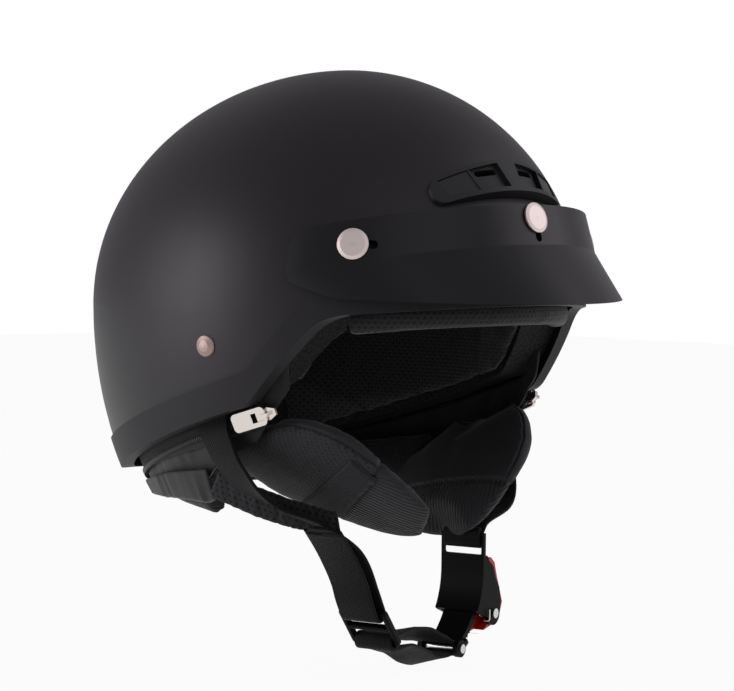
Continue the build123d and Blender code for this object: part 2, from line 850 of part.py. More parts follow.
# Chin strap rivets, and the plates that they hold inside the shell
rivet_inner_end = -(liner_outer_face + anchor_plate_wall + seat_gap / 2)
rivet_outline = (
    (0, rivet_head_height + seat_gap),
    (rivet_head_radius / 2, rivet_head_height),
    (rivet_head_radius - rivet_head_height / 4, rivet_head_height / 2),
    (rivet_head_radius, seat_gap / 2),
    (rivet_shank_radius, seat_gap / 2),
    (rivet_shank_radius, rivet_inner_end),
    (rivet_head_radius * 2 / 3, rivet_inner_end),
    (rivet_head_radius / 2, rivet_inner_end - rivet_head_height / 2),
    (0, rivet_inner_end - rivet_head_height / 2),
)
rivet_list = [turned(rivet_plane(side), rivet_outline) for side in side_names]
with BuildPart() as strap_rivets:
    for rivet in rivet_list:
        add(rivet)
save(strap_rivets.part, "strap_rivets")

plate_list = []
for side in side_names:
    with BuildPart() as plate_block:
        with BuildSketch(rivet_plane(side).offset(-liner_outer_face - anchor_plate_wall)):
            RectangleRounded(anchor_plate_width, anchor_plate_length, anchor_plate_wall)
            Circle(rivet_shank_radius + seat_gap / 2, mode=Mode.SUBTRACT)
        extrude(amount=2 * anchor_plate_wall)
    plate_list.append(plate_block.part & dome(liner_outer_face))
with BuildPart() as anchor_plates:
    for plate in plate_list:
        add(plate)
save(anchor_plates.part, "anchor_plates")

# Neck curtain: a cloth wall that hangs inside the edge from temple to temple
curtain_line_shares = (
    (-0.34, -0.20), (-0.20, -0.36), (-0.02, -0.43), (0.15, -0.54), (1.20, -0.56),
)
curtain_line = [(shell_rear_reach * along, shell_skirt_depth * up) for along, up in curtain_line_shares]
curtain_zone = side_block(curtain_line, []) - above_edge(curtain_top_lift)
curtain_body = dome_wall(curtain_setback, curtain_inner_face)
with BuildPart() as neck_curtain:
    add(curtain_body)
    add(curtain_zone, mode=Mode.INTERSECT)
save(neck_curtain.part, "neck_curtain")

# Turned-up cuff along the curtain's lower edge
cuff_low_shares = ((-0.10, -0.487), (0.06, -0.545), (0.20, -0.545), (0.64, -0.565), (1.20, -0.57))
cuff_high_shares = ((-0.10, -0.435), (0.24, -0.469), (0.59, -0.528), (1.20, -0.54))
cuff_low = [(shell_rear_reach * along, shell_skirt_depth * up) for along, up in cuff_low_shares]
cuff_high = [(shell_rear_reach * along, shell_skirt_depth * up) for along, up in cuff_high_shares]
cuff_floor = [(along, up - cuff_wall) for along, up in cuff_low]
cuff_zone = (side_block(cuff_floor, []) - side_block(cuff_high, [])) & block_behind(-cuff_front)
cuff_hollow = dome(cuff_setback + cuff_wall) & side_block(cuff_low, [])
cuff_body = dome_wall(cuff_setback, curtain_setback - seat_gap)
with BuildPart() as neck_cuff:
    add(cuff_body)
    add(cuff_zone, mode=Mode.INTERSECT)
    add(cuff_hollow, mode=Mode.SUBTRACT)
save(neck_cuff.part, "neck_cuff")

# Zip chain round the curtain, just below the trim
zip_chain_bottom_drop = zip_chain_top_drop + zip_chain_height
zip_zone = above_edge(-zip_chain_bottom_drop) - above_edge(-zip_chain_top_drop)
cuff_rim = [(along, up + seat_gap) for along, up in cuff_high]
cuff_side = side_block(cuff_rim, []) + (block_behind(-zip_chain_front) - block_behind(cuff_rim[0][0]))
zip_zone = zip_zone & block_behind(-zip_chain_front) & cuff_side
zip_body = dome_wall(zip_chain_setback, zip_chain_setback + zip_chain_wall)
with BuildPart() as zip_chain:
    add(zip_body)
    add(zip_zone, mode=Mode.INTERSECT)
save(zip_chain.part, "zip_chain")


def zip_place(y, setback, side):
    """Point on the middle of the zip, whose line runs on straight past the ear corner."""
    fall = (nape_corner_drop - ear_corner_drop) / (nape_corner_reach + ear_corner_reach)
    level = -ear_corner_drop - fall * (y + ear_corner_reach)
    return dome_place(y, level - zip_chain_top_drop - zip_chain_height / 2, setback, side)


def zip_plane(side):
    """Plane on a zip slider's outer face, X rearwards along the zip, facing out."""
    place = zip_place(-zip_slider_reach, zip_slider_setback, side)
    behind = zip_place(-zip_slider_reach + zip_slider_length, zip_slider_setback, side)
    outward = dome_outward(place, zip_slider_setback)
    along = behind - place
    along = (along - outward * along.dot(outward)).normalized()
    return Plane(origin=place, x_dir=along, z_dir=outward)


# Zip sliders: a plate with side flanges, and a bridge over the bar of the pull
half_length = zip_slider_length / 2
half_width = zip_slider_width / 2
pull_half_sweep = sqrt(zip_pull_bar**2 + zip_pull_wall**2) / 2
bridge_height = 2 * (pull_half_sweep + seat_gap / 2)
bridge_post = pull_half_sweep + running_gap + zip_bridge_wall / 2
for side, side_name in side_names.items():
    slider_plane = zip_plane(side)
    with BuildPart() as zip_slider:
        with BuildSketch(slider_plane.offset(-zip_slider_plate)):
            with BuildLine():
                Polyline(
                    (-half_length, half_width / 2),
                    (-half_length / 3, half_width),
                    (half_length, half_width * 4 / 5),
                    (half_length, -half_width * 4 / 5),
                    (-half_length / 3, -half_width),
                    (-half_length, -half_width / 2),
                    close=True,
                )
            make_face()
        extrude(amount=zip_slider_plate)
        with BuildSketch(slider_plane.offset(-zip_slider_plate)):
            flange_middle = half_width * 4 / 5 - zip_slider_flange / 2
            with Locations((0, flange_middle), (0, -flange_middle)):
                Rectangle(half_length, zip_slider_flange)
        extrude(amount=-zip_slider_flange)
        with BuildSketch(slider_plane):
            with Locations((bridge_post, 0), (-bridge_post, 0)):
                Rectangle(zip_bridge_wall, zip_bridge_width)
        extrude(amount=bridge_height + zip_bridge_wall)
        with BuildSketch(slider_plane.offset(bridge_height)):
            Rectangle(2 * bridge_post, zip_bridge_width)
        extrude(amount=zip_bridge_wall)
    save(zip_slider.part, "zip_slider_" + side_name)

# Zip pulls: a flat tab whose windowed end hangs on the slider's bridge
for side, side_name in side_names.items():
    pull_plane = zip_plane(side).offset(bridge_height / 2 - zip_pull_wall / 2)
    with BuildPart() as zip_pull:
        with BuildSketch(pull_plane):
            with Locations((zip_pull_length / 2 - zip_pull_bar / 2, 0)):
                RectangleRounded(zip_pull_length, zip_pull_width, zip_pull_width / 4)
            with Locations((zip_pull_bar / 2 + zip_pull_window_length / 2, 0)):
                Rectangle(zip_pull_window_length, zip_pull_window_width, mode=Mode.SUBTRACT)
        extrude(amount=zip_pull_wall)
    save(zip_pull.part, "zip_pull_" + side_name)

# Ear pads: a root under the edge, a bend and a tip, with the way across and the way out at both ends
ear_pad_shares = {
    "right": (
        ((-0.760, 0.160, 0.320), (-0.650, 0.345, 0.395), (-0.365, 0.610, 0.540)),
        (Vector(-0.05, 0.95, -0.30), Vector(0.36, 0.75, -0.55)),
        (Vector(-0.85, -0.18, -0.43), Vector(-0.65, -0.22, -0.73)),
    ),
    "left": (
        ((0.742, 0.180, 0.320), (0.690, 0.200, 0.450), (0.500, 0.205, 0.620)),
        (Vector(0.05, 0.95, -0.30), Vector(0.10, 0.98, -0.18)),
        (Vector(0.88, 0.05, -0.40), Vector(0.85, -0.17, -0.48)),
    ),
}


def pad_station(side_name, share):
    """Plane across an ear pad at a share of its length, with its half width and thickness."""
    bend_shares, across_ends, outward_ends = ear_pad_shares[side_name]
    root, bend, tip = [share_place(shares) for shares in bend_shares]
    rest = 1 - share
    middle = root * rest**2 + bend * (2 * share * rest) + tip * share**2
    across = (across_ends[0] * rest + across_ends[1] * share).normalized()
    outward = outward_ends[0] * rest + outward_ends[1] * share
    outward = (outward - across * outward.dot(across)).normalized()
    plane = Plane(origin=middle, x_dir=across, z_dir=across.cross(outward))
    swell = sin(radians(180 * min(share, 1) ** 0.8))
    ends = (ear_pad_root_half_width * rest + ear_pad_tip_half_width * share)
    half_width = ends + (ear_pad_half_width - (ear_pad_root_half_width + ear_pad_tip_half_width) / 2) * swell
    ends = (ear_pad_root_thickness * rest + ear_pad_tip_thickness * share)
    middle_ends = (ear_pad_root_thickness + ear_pad_tip_thickness) / 2
    thickness = ends + (ear_pad_thickness - middle_ends) * swell
    return plane, half_width, thickness


pad_station_shares = (0.0, 0.2, 0.4, 0.6, 0.8, 0.94, 1.0)
pad_close_shares = (0.9, 1.0, 1.0, 1.0, 1.0, 0.92, 0.66)
for side_name in ear_pad_shares:
    pad_sections = []
    for share, close in zip(pad_station_shares, pad_close_shares):
        plane, half_width, thickness = pad_station(side_name, share)
        pad_sections.append((plane, cushion_section(half_width * close, thickness * close)))
    ear_pad = lofted(pad_sections)
    save(ear_pad, "ear_pad_" + side_name)

# Elastic bands across the outer faces of the ear pads
ear_band_shares = (0.62, 0.72, 0.82)
for side_name in ear_pad_shares:
    band_sections = []
    for share in ear_band_shares:
        plane, half_width, thickness = pad_station(side_name, share)
        shoulder = half_width * pad_shoulder_share
        low = thickness * pad_rise_share + seat_gap
        crown = thickness / 2 + seat_gap
        with BuildSketch() as band_section:
            with BuildLine():
                ThreePointArc((-shoulder, low), (0, crown), (shoulder, low))
                Line((shoulder, low), (shoulder, low + ear_band_wall))
                ThreePointArc(
                    (shoulder, low + ear_band_wall),
                    (0, crown + ear_band_wall),
                    (-shoulder, low + ear_band_wall),
                )
                Line((-shoulder, low + ear_band_wall), (-shoulder, low))
            make_face()
        band_sections.append((plane, band_section.sketch))
    ear_band = lofted(band_sections)
    save(ear_band, "ear_band_" + side_name)

# Plane of the chin strap, and the buckle's own plane at its arc centre
strap_across = Vector(cos(radians(strap_plane_turn)), sin(radians(strap_plane_turn)), 0)
strap_forward = Vector(sin(radians(strap_plane_turn)), -cos(radians(strap_plane_turn)), 0)
strap_plane = Plane(origin=(0, strap_plane_set_back, 0), x_dir=strap_across, z_dir=strap_forward)
up_way = Vector(0, 0, 1)


def strap_place(across, drop, forward=0.0):
    """Point in the plane of the chin strap, by its way across and its drop."""
    return strap_plane.origin + strap_across * across - up_way * drop + strap_forward * forward


arc_plane = Plane(
    origin=strap_place(arc_centre_across, arc_centre_drop), x_dir=strap_across, z_dir=strap_forward
)
plate_inner_radius = tongue_inner_radius - running_gap - plate_wall
plate_outer_radius = tongue_inner_radius - running_gap
tongue_outer_radius = tongue_inner_radius + tongue_wall
cheek_side = plate_width / 2
lever_width = plate_width - 2 * cheek_wall - 2 * running_gap

# Buckle body: curved base plate with a webbing bar at its top, and two cheeks for the lever's pin
cheek_shares = (
    (0.855, 0.311), (0.900, 0.180), (0.985, 0.050), (1.040, -0.250), (1.110, -0.440),
    (1.148, -0.760), (1.125, -1.020),
)
cheek_outline = [(lever_pin_across * along, lever_pin_drop * up) for along, up in cheek_shares]
with BuildPart() as buckle_body:
    with BuildSketch(arc_plane):
        with BuildLine():
            plate_middle_turn = plate_bottom_turn / 2
            ThreePointArc(
                polar(plate_outer_radius, 0),
                polar(plate_outer_radius, plate_middle_turn),
                polar(plate_outer_radius, plate_bottom_turn),
            )
            Line(polar(plate_outer_radius, plate_bottom_turn), polar(plate_inner_radius, plate_bottom_turn))
            ThreePointArc(
                polar(plate_inner_radius, plate_bottom_turn),
                polar(plate_inner_radius, plate_middle_turn),
                polar(plate_inner_radius, 0),
            )
            Polyline(
                (plate_inner_radius, 0),
                (plate_inner_radius, plate_rise),
                (plate_outer_radius, plate_rise),
                (plate_outer_radius, 0),
            )
        make_face()
    extrude(amount=plate_width / 2, both=True)
    slot_spot = arc_plane.origin + up_way * (plate_slot_bottom + plate_slot_height / 2)
    with BuildSketch(Plane(origin=slot_spot, x_dir=strap_forward, z_dir=strap_across)):
        RectangleRounded(plate_slot_width, plate_slot_height, plate_wall / 2)
    extrude(amount=plate_outer_radius + overrun, mode=Mode.SUBTRACT)
    for cheek_spot in (cheek_side - cheek_wall, -cheek_side):
        with BuildSketch(arc_plane.offset(cheek_spot)):
            with BuildLine():
                FilletPolyline(
                    (plate_inner_radius, 0),
                    (plate_inner_radius, cheek_top),
                    *cheek_outline,
                    (lever_pin_across, -lever_pin_drop - lever_boss_radius),
                    (lever_pin_across - lever_boss_radius, -lever_pin_drop - lever_boss_radius / 4),
                    polar(plate_outer_radius, plate_bottom_turn),
                    radius=cheek_corner / 2,
                )
                Line(
                    polar(plate_outer_radius, plate_bottom_turn),
                    polar(plate_inner_radius, plate_bottom_turn),
                )
                ThreePointArc(
                    polar(plate_inner_radius, plate_bottom_turn),
                    polar(plate_inner_radius, plate_middle_turn),
                    (plate_inner_radius, 0),
                )
            make_face()
            with Locations((lever_pin_across, -lever_pin_drop)):
                Circle(lever_boss_radius)
                Circle(lever_pin_radius + seat_gap / 2, mode=Mode.SUBTRACT)
        extrude(amount=cheek_wall)
save(buckle_body.part, "buckle_body")

# Buckle lever: a thumb ridge outside, a pawl that stands over the teeth, a tail below the pin
pawl_radius = tongue_outer_radius + tongue_tooth_height + running_gap
lever_shares = (
    (0.936, -0.330), (0.932, 0.180), (1.010, 0.230), (1.087, 0.100), (1.136, -0.210),
    (1.194, -0.500), (1.252, -0.810), (1.204, -1.060), (1.068, -1.260), (0.755, -1.400),
    (0.816, -1.016), (0.903, -0.705),
)
lever_outline = [(lever_pin_across * along, lever_pin_drop * up) for along, up in lever_shares]
pocket_radius = spring_coil_radius + spring_wire_radius + spring_pocket_play
pocket_depth = spring_set_in + spring_turns * spring_pitch + 2 * spring_wire_radius
wedge_turn = lever_swing + degrees(asin(pocket_radius / (spring_leg + spring_bend)))
wedge_reach = (spring_leg + 2 * spring_bend) / cos(radians(wedge_turn))
with BuildPart() as buckle_lever:
    with BuildSketch(arc_plane.offset(-lever_width / 2)):
        with BuildLine():
            Polyline(
                polar(pawl_radius, pawl_turn),
                *lever_outline,
                polar(pawl_radius, pawl_turn + pawl_width_turn),
                close=True,
            )
        make_face()
        with Locations((lever_pin_across, -lever_pin_drop)):
            Circle(lever_pin_radius + seat_gap, mode=Mode.SUBTRACT)
    extrude(amount=lever_width)
    with BuildSketch(arc_plane.offset(lever_width / 2 - pocket_depth)):
        with Locations((lever_pin_across, -lever_pin_drop)):
            Circle(pocket_radius)
        with BuildLine():
            Polyline(
                (lever_pin_across, -lever_pin_drop),
                (lever_pin_across - wedge_reach, -lever_pin_drop),
                (lever_pin_across - wedge_reach, -lever_pin_drop - wedge_reach * tan(radians(wedge_turn))),
                (lever_pin_across, -lever_pin_drop - pocket_radius),
                close=True,
            )
        make_face()
    extrude(amount=pocket_depth + seat_gap, mode=Mode.SUBTRACT)
save(buckle_lever.part, "buckle_lever")

# Lever pin with a flat head at each end
pin_half = cheek_side + seat_gap
pin_end = pin_half + lever_pin_head_height
pin_spot = strap_place(arc_centre_across + lever_pin_across, arc_centre_drop + lever_pin_drop)
lever_pin_plane = Plane(origin=pin_spot, x_dir=strap_across, z_dir=strap_forward)
lever_pin_outline = (
    (0, pin_end),
    (lever_pin_head_radius, pin_end),
    (lever_pin_head_radius, pin_half),
    (lever_pin_radius, pin_half),
    (lever_pin_radius, -pin_half),
    (lever_pin_head_radius, -pin_half),
    (lever_pin_head_radius, -pin_end),
    (0, -pin_end),
)
lever_pin = turned(lever_pin_plane, lever_pin_outline)
save(lever_pin, "lever_pin")

# Ratchet tongue: an arc strip with saw teeth outside and two ears for the end pin
tongue_outline = [polar(tongue_outer_radius, tongue_top_turn)]
for number in range(tongue_tooth_count):
    foot_turn = tongue_tooth_start_turn + number * tongue_tooth_pitch
    peak_turn = foot_turn + tongue_tooth_pitch * tongue_tooth_share
    tongue_outline.append(polar(tongue_outer_radius, foot_turn))
    tongue_outline.append(polar(tongue_outer_radius + tongue_tooth_height, peak_turn))
    tongue_outline.append(polar(tongue_outer_radius, peak_turn))
tongue_outline.append(polar(tongue_outer_radius, tongue_wide_turn))
tongue_middle_turn = (tongue_top_turn + tongue_wide_turn) / 2
end_pin_point = polar(end_pin_arc_radius, end_pin_turn)
ear_inner = end_webbing_width / 2 + seat_gap
ear_outer = ear_inner + end_ear_wall
wide_middle_turn = (tongue_wide_turn + tongue_bottom_turn) / 2
with BuildPart() as ratchet_tongue:
    with BuildSketch(arc_plane.offset(-tongue_width / 2)):
        with BuildLine():
            Polyline(*tongue_outline)
            Line(
                polar(tongue_outer_radius, tongue_wide_turn),
                polar(tongue_inner_radius, tongue_wide_turn),
            )
            ThreePointArc(
                polar(tongue_inner_radius, tongue_wide_turn),
                polar(tongue_inner_radius, tongue_middle_turn),
                polar(tongue_inner_radius, tongue_top_turn),
            )
            Line(
                polar(tongue_inner_radius, tongue_top_turn),
                polar(tongue_outer_radius, tongue_top_turn),
            )
        make_face()
    extrude(amount=tongue_width)
    with BuildSketch(arc_plane.offset(-ear_outer)):
        with BuildLine():
            ThreePointArc(
                polar(tongue_inner_radius, tongue_wide_turn),
                polar(tongue_inner_radius, wide_middle_turn),
                polar(tongue_inner_radius, tongue_bottom_turn),
            )
            Line(
                polar(tongue_inner_radius, tongue_bottom_turn),
                polar(tongue_outer_radius, tongue_bottom_turn),
            )
            ThreePointArc(
                polar(tongue_outer_radius, tongue_bottom_turn),
                polar(tongue_outer_radius, wide_middle_turn),
                polar(tongue_outer_radius, tongue_wide_turn),
            )
            Line(
                polar(tongue_outer_radius, tongue_wide_turn),
                polar(tongue_inner_radius, tongue_wide_turn),
            )
        make_face()
    extrude(amount=2 * ear_outer)
    for ear_spot in (ear_inner, -ear_outer):
        with BuildSketch(arc_plane.offset(ear_spot)):
            with Locations(end_pin_point):
                Circle(end_ear_radius)
        extrude(amount=end_ear_wall)
    with BuildSketch(arc_plane.offset(-ear_inner)):
        with Locations(end_pin_point):
            Circle(end_ear_radius + seat_gap)
    extrude(amount=2 * ear_inner, mode=Mode.SUBTRACT)
    with BuildSketch(arc_plane.offset(-ear_outer)):
        with Locations(end_pin_point):
            Circle(end_pin_radius + seat_gap / 2)
    extrude(amount=2 * ear_outer, mode=Mode.SUBTRACT)
save(ratchet_tongue.part, "ratchet_tongue")

# End pin that joins the tongue and the lower webbing
end_pin_spot = arc_plane.from_local_coords(Vector(end_pin_point[0], end_pin_point[1], 0))
end_pin_half = ear_outer + seat_gap / 2
end_pin_end = end_pin_half + end_pin_head_height
end_pin_outline = (
    (0, end_pin_end),
    (end_pin_head_radius, end_pin_end),
    (end_pin_head_radius, end_pin_half),
    (end_pin_radius, end_pin_half),
    (end_pin_radius, -end_pin_half),
    (end_pin_head_radius, -end_pin_half),
    (end_pin_head_radius, -end_pin_end),
    (0, -end_pin_end),
)
end_pin = turned(Plane(origin=end_pin_spot, x_dir=strap_across, z_dir=strap_forward), end_pin_outline)
save(end_pin, "end_pin")

# Ladder lock: a frame with three bars
lock_top = strap_place(lock_top_across, lock_top_drop)
lock_bottom = strap_place(lock_bottom_across, lock_bottom_drop)
lock_way = (lock_bottom - lock_top).normalized()
lock_span = (lock_bottom - lock_top).length
lock_plane = Plane(
    origin=(lock_top + lock_bottom) / 2, x_dir=lock_way, z_dir=lock_way.cross(strap_forward)
)
lock_hole = (lock_span - lock_bar - lock_middle_bar) / 2
lock_hole_spot = (lock_middle_bar + lock_hole) / 2
with BuildPart() as ladder_lock:
    with BuildSketch(lock_plane.offset(-lock_wall / 2)):
        RectangleRounded(lock_span + lock_bar, lock_width, lock_corner)
        with Locations((lock_hole_spot, 0), (-lock_hole_spot, 0)):
            Rectangle(lock_hole, lock_width - 2 * lock_side_wall, mode=Mode.SUBTRACT)
    extrude(amount=lock_wall)
    fillet(ladder_lock.edges().filter_by(Axis(lock_plane.origin, strap_forward)), radius=lock_bar / 4)
save(ladder_lock.part, "ladder_lock")


def webbing_loop(place, bore, width):
    """Loop of webbing round a bar that lies across the strap."""
    with BuildPart() as loop:
        with BuildSketch(Plane(origin=place, x_dir=strap_across, z_dir=strap_forward)):
            Circle(bore + webbing_thickness)
            Circle(bore, mode=Mode.SUBTRACT)
        extrude(amount=width / 2, both=True)
    return loop.part


def lock_station(share_row, width):
    """Station in the strap's plane, given as shares of the lock's top bar's place."""
    across, down = share_row
    place = strap_place(lock_top_across * across, lock_top_drop * down)
    return (place, -strap_forward, width)


def loop_station(middle, radius, turn, width):
    """Station on a webbing loop's own wall, where a run of the strap joins it."""
    place = middle + strap_across * (radius * cos(radians(turn))) + up_way * (radius * sin(radians(turn)))
    return (place, -strap_forward, width)


# Right webbing: from its anchor down to the lock, round its top bar and up again as the tail
lock_bore = sqrt(lock_bar**2 + lock_wall**2) / 2 + seat_gap / 2
loop_middle = lock_bore + webbing_thickness / 2
anchor_shares = ((0.120, 0.126), (0.088, 0.225), (0.068, 0.303))
right_shares = (
    ((-0.874, 0.100, 0.366), Vector(0.15, 0.95, -0.25)),
    ((-0.852, 0.180, 0.447), Vector(0.30, 0.93, -0.20)),
    ((-0.767, 0.316, 0.531), Vector(0.62, 0.78, -0.05)),
    ((-0.615, 0.414, 0.590), Vector(0.20, 0.97, 0.00)),
)
right_lock_shares = ((1.357, 0.804), (1.060, 0.924))
tail_shares = ((1.202, 0.9535), (1.286, 0.904), (1.571, 0.797), (1.929, 0.694))


def anchor_stations(side):
    """Stations of a strap's upper run, which lies on the dome below its anchor."""
    stations = []
    for forward, down in anchor_shares:
        y = -shell_front_reach * forward
        z = -shell_skirt_depth * down
        place = dome_place(y, z, strap_setback, side)
        outward = dome_outward(place, strap_setback)
        across = Vector(-side * outward.Y, side * outward.X, 0)
        stations.append((place, across, webbing_width))
    return stations


right_stations = anchor_stations(-1)
for row, across in right_shares:
    right_stations.append((share_place(row), across, webbing_width))
for row in right_lock_shares:
    right_stations.append(lock_station(row, webbing_width))
right_stations.append(loop_station(lock_top, loop_middle, 18, webbing_width))
tail_stations = [loop_station(lock_top, loop_middle, 212, webbing_width)]
for row in tail_shares:
    tail_stations.append(lock_station(row, webbing_width))
right_run = ribbon(right_stations, webbing_thickness, len(anchor_shares) - 1)
right_tail = ribbon(tail_stations, webbing_thickness)
right_loop = webbing_loop(lock_top, lock_bore, webbing_width)
with BuildPart() as strap_right:
    add(right_run)
    add(right_tail)
    add(right_loop)
save(strap_right.part, "strap_right")

# Left webbing: from its anchor down to the buckle, round the bar of the base plate
left_shares = (
    ((0.868, 0.092, 0.390), Vector(-0.12, 0.95, -0.22)),
    ((0.821, 0.159, 0.506), Vector(-0.20, 0.95, -0.15)),
    ((0.709, 0.239, 0.596), Vector(-0.25, 0.95, 0.00)),
)
left_plate_shares = ((1.150, 0.575),)
bar_height = plate_rise - plate_slot_bottom - plate_slot_height
bar_middle = (plate_inner_radius + plate_outer_radius) / 2
bar_spot = strap_place(arc_centre_across + bar_middle, arc_centre_drop - plate_rise + bar_height / 2)
bar_gap = seat_gap + webbing_thickness
left_stations = anchor_stations(1)
for row, across in left_shares:
    left_stations.append((share_place(row), across, webbing_width))
for along, up in left_plate_shares:
    place = strap_place(arc_centre_across + bar_middle * along, arc_centre_drop - bar_middle * up)
    left_stations.append((place, -strap_forward, webbing_width))
loop_side = plate_wall / 2 + seat_gap + webbing_thickness / 2
place = bar_spot + strap_across * loop_side + up_way * (bar_height / 2)
left_stations.append((place, -strap_forward, webbing_width))
left_run = ribbon(left_stations, webbing_thickness, len(anchor_shares) - 1)
with BuildPart() as strap_left:
    with BuildSketch(Plane(origin=bar_spot, x_dir=strap_across, z_dir=strap_forward)):
        RectangleRounded(plate_wall + 2 * bar_gap, bar_height + 2 * bar_gap, bar_gap)
        RectangleRounded(plate_wall + 2 * seat_gap, bar_height + 2 * seat_gap, seat_gap, mode=Mode.SUBTRACT)
    extrude(amount=webbing_width / 2, both=True)
    add(left_run)
save(strap_left.part, "strap_left")

# Chin webbing: two layers between the lock's lower bar and the tongue's end pin
end_bore = end_pin_radius + seat_gap
end_loop_middle = end_bore + webbing_thickness / 2
chin_span = end_pin_spot - lock_bottom
chin_upper_shares = ((0.35, 0.092, 0.25), (0.60, 0.083, 0.40), (0.82, 0.061, 0.20))
chin_lower_shares = ((0.32, -0.043, 0.25), (0.57, -0.098, 0.40), (0.757, -0.120, 0.30), (0.929, -0.066, 0.10))


def chin_run(run_shares, first, last):
    """Ribbon of the chin webbing between two loop stations, by shares of the span between its bars."""
    stations = [first]
    for along, up, tilt in run_shares:
        place = lock_bottom + chin_span * along + up_way * (chin_span.length * up)
        across = (-strap_forward - up_way * tilt).normalized()
        width = webbing_width + (end_webbing_width - webbing_width) * along
        stations.append((place, across, width))
    stations.append(last)
    return ribbon(stations, webbing_thickness)


chin_upper = chin_run(
    chin_upper_shares,
    loop_station(lock_bottom, loop_middle, 70, webbing_width),
    loop_station(end_pin_spot, end_loop_middle, 110, end_webbing_width),
)
chin_lower = chin_run(
    chin_lower_shares,
    loop_station(lock_bottom, loop_middle, -80, webbing_width),
    loop_station(end_pin_spot, end_loop_middle, 255, end_webbing_width),
)
lock_loop = webbing_loop(lock_bottom, lock_bore, webbing_width)
end_loop = webbing_loop(end_pin_spot, end_bore, end_webbing_width)
with BuildPart() as chin_webbing:
    add(chin_upper)
    add(chin_lower)
    add(lock_loop)
    add(end_loop)
save(chin_webbing.part, "chin_webbing")


def biarc(start, start_way, end, end_way):
    """Two arcs that leave start and reach end along the given ways, met on one tangent."""
    gap = end - start
    ways = start_way + end_way
    spread = 2 * (1 - start_way.dot(end_way))
    lean = gap.dot(ways)
    reach = (sqrt(lean**2 + spread * gap.dot(gap)) - lean) / spread
    meeting = (start + end + (start_way - end_way) * reach) / 2
    way = (end - end_way * reach) - (start + start_way * reach)
    return [(start, start_way, meeting), (meeting, way.normalized(), end)]


def coil_point(turns):
    """Point and direction on the spring's coil about the lever's pin."""
    angle = radians(360 * turns - 90)
    around = strap_across * cos(angle) + up_way * sin(angle)
    onward = up_way * cos(angle) - strap_across * sin(angle)
    rise = strap_forward * (spring_start - spring_pitch * turns)
    way = onward - strap_forward * (spring_pitch / (2 * pi * spring_coil_radius))
    return pin_spot + around * spring_coil_radius + rise, way.normalized()


# Torsion spring: its coil lies in the lever's pocket, its leg hooks over the front cheek's edge
spring_start = lever_width / 2 - spring_set_in / 2 - spring_wire_radius / 4
hook_rise = cheek_side + seat_gap + spring_wire_radius - spring_start
first_point, first_way = coil_point(0)
leg_end = first_point - first_way * spring_leg
hook_base = leg_end + strap_forward * hook_rise
hook_end = hook_base + up_way * spring_hook
path_edges = []
for step in range(4 * spring_turns):
    start, start_way = coil_point(step / 4)
    end, end_way = coil_point((step + 1) / 4)
    path_edges += biarc(start, start_way, end, end_way)
with BuildPart() as lever_spring:
    with BuildLine() as spring_path:
        FilletPolyline(hook_end, hook_base, leg_end, first_point, radius=spring_bend)
        for start, way, end in path_edges:
            TangentArc(start, end, tangent=way)
    with BuildSketch(Plane(origin=hook_end, z_dir=-up_way)):
        Circle(spring_wire_radius)
    sweep()
save(lever_spring.part, "lever_spring")
spring_gap = spring_pitch - 2 * spring_wire_radius
print("least gap between the spring's turns", round(spring_gap, 3))
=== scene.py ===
from math import atan2, cos, pi, radians, sin, sqrt

import bmesh
import bpy
from mathutils import Matrix, Vector, noise


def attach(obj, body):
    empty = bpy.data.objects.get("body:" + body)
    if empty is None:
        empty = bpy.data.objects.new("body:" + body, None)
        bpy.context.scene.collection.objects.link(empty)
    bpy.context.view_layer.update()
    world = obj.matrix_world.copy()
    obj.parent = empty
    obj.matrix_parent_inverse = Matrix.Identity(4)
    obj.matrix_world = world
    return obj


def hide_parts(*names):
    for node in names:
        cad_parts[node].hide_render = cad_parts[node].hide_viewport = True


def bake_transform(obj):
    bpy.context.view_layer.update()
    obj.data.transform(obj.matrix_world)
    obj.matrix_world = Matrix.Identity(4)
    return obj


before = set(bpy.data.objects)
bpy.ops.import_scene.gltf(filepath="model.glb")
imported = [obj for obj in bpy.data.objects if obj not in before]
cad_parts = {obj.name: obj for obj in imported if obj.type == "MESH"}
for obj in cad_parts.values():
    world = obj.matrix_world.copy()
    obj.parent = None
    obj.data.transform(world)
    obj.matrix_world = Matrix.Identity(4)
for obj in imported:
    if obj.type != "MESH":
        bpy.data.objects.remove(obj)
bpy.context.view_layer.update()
scene = bpy.context.scene
for each in list(bpy.context.selected_objects):
    each.select_set(False)

# The shell is the half helmet's hard outer skin, moulded in one piece of plastic and sprayed
# with a satin black paint. A fine orange peel and a few faint scuffs show in its gloss.


def feed(node, values):
    """Fills or links inputs of a node."""
    for key, value in values.items():
        if isinstance(value, bpy.types.NodeSocket):
            node.id_data.links.new(value, node.inputs[key])
        else:
            node.inputs[key].default_value = value


def add_node(tree, kind, values=None, **settings):
    """A shader node with its settings, and its inputs filled or linked."""
    node = tree.nodes.new("ShaderNode" + kind)
    for key, value in settings.items():
        setattr(node, key, value)
    feed(node, values or {})
    return node


def maths(operation, *values):
    """Output of one Math node, in the tree of its first linked value."""
    tree = next(value for value in values if isinstance(value, bpy.types.NodeSocket)).id_data
    return add_node(tree, "Math", dict(enumerate(values)), operation=operation).outputs[0]


def times(first, second):
    """Product of two values."""
    return maths("MULTIPLY", first, second)


def ramp(value, low, high, first=0.0, last=1.0):
    """Value that goes from first to last while another goes from low to high."""
    values = {"Value": value, "From Min": low, "From Max": high, "To Min": first, "To Max": last}
    return add_node(value.id_data, "MapRange", values).outputs[0]


def speckle(where, scale, detail):
    """Noise over a surface."""
    return add_node(where.id_data, "TexNoise", {"Vector": where, "Scale": scale, "Detail": detail}).outputs["Fac"]


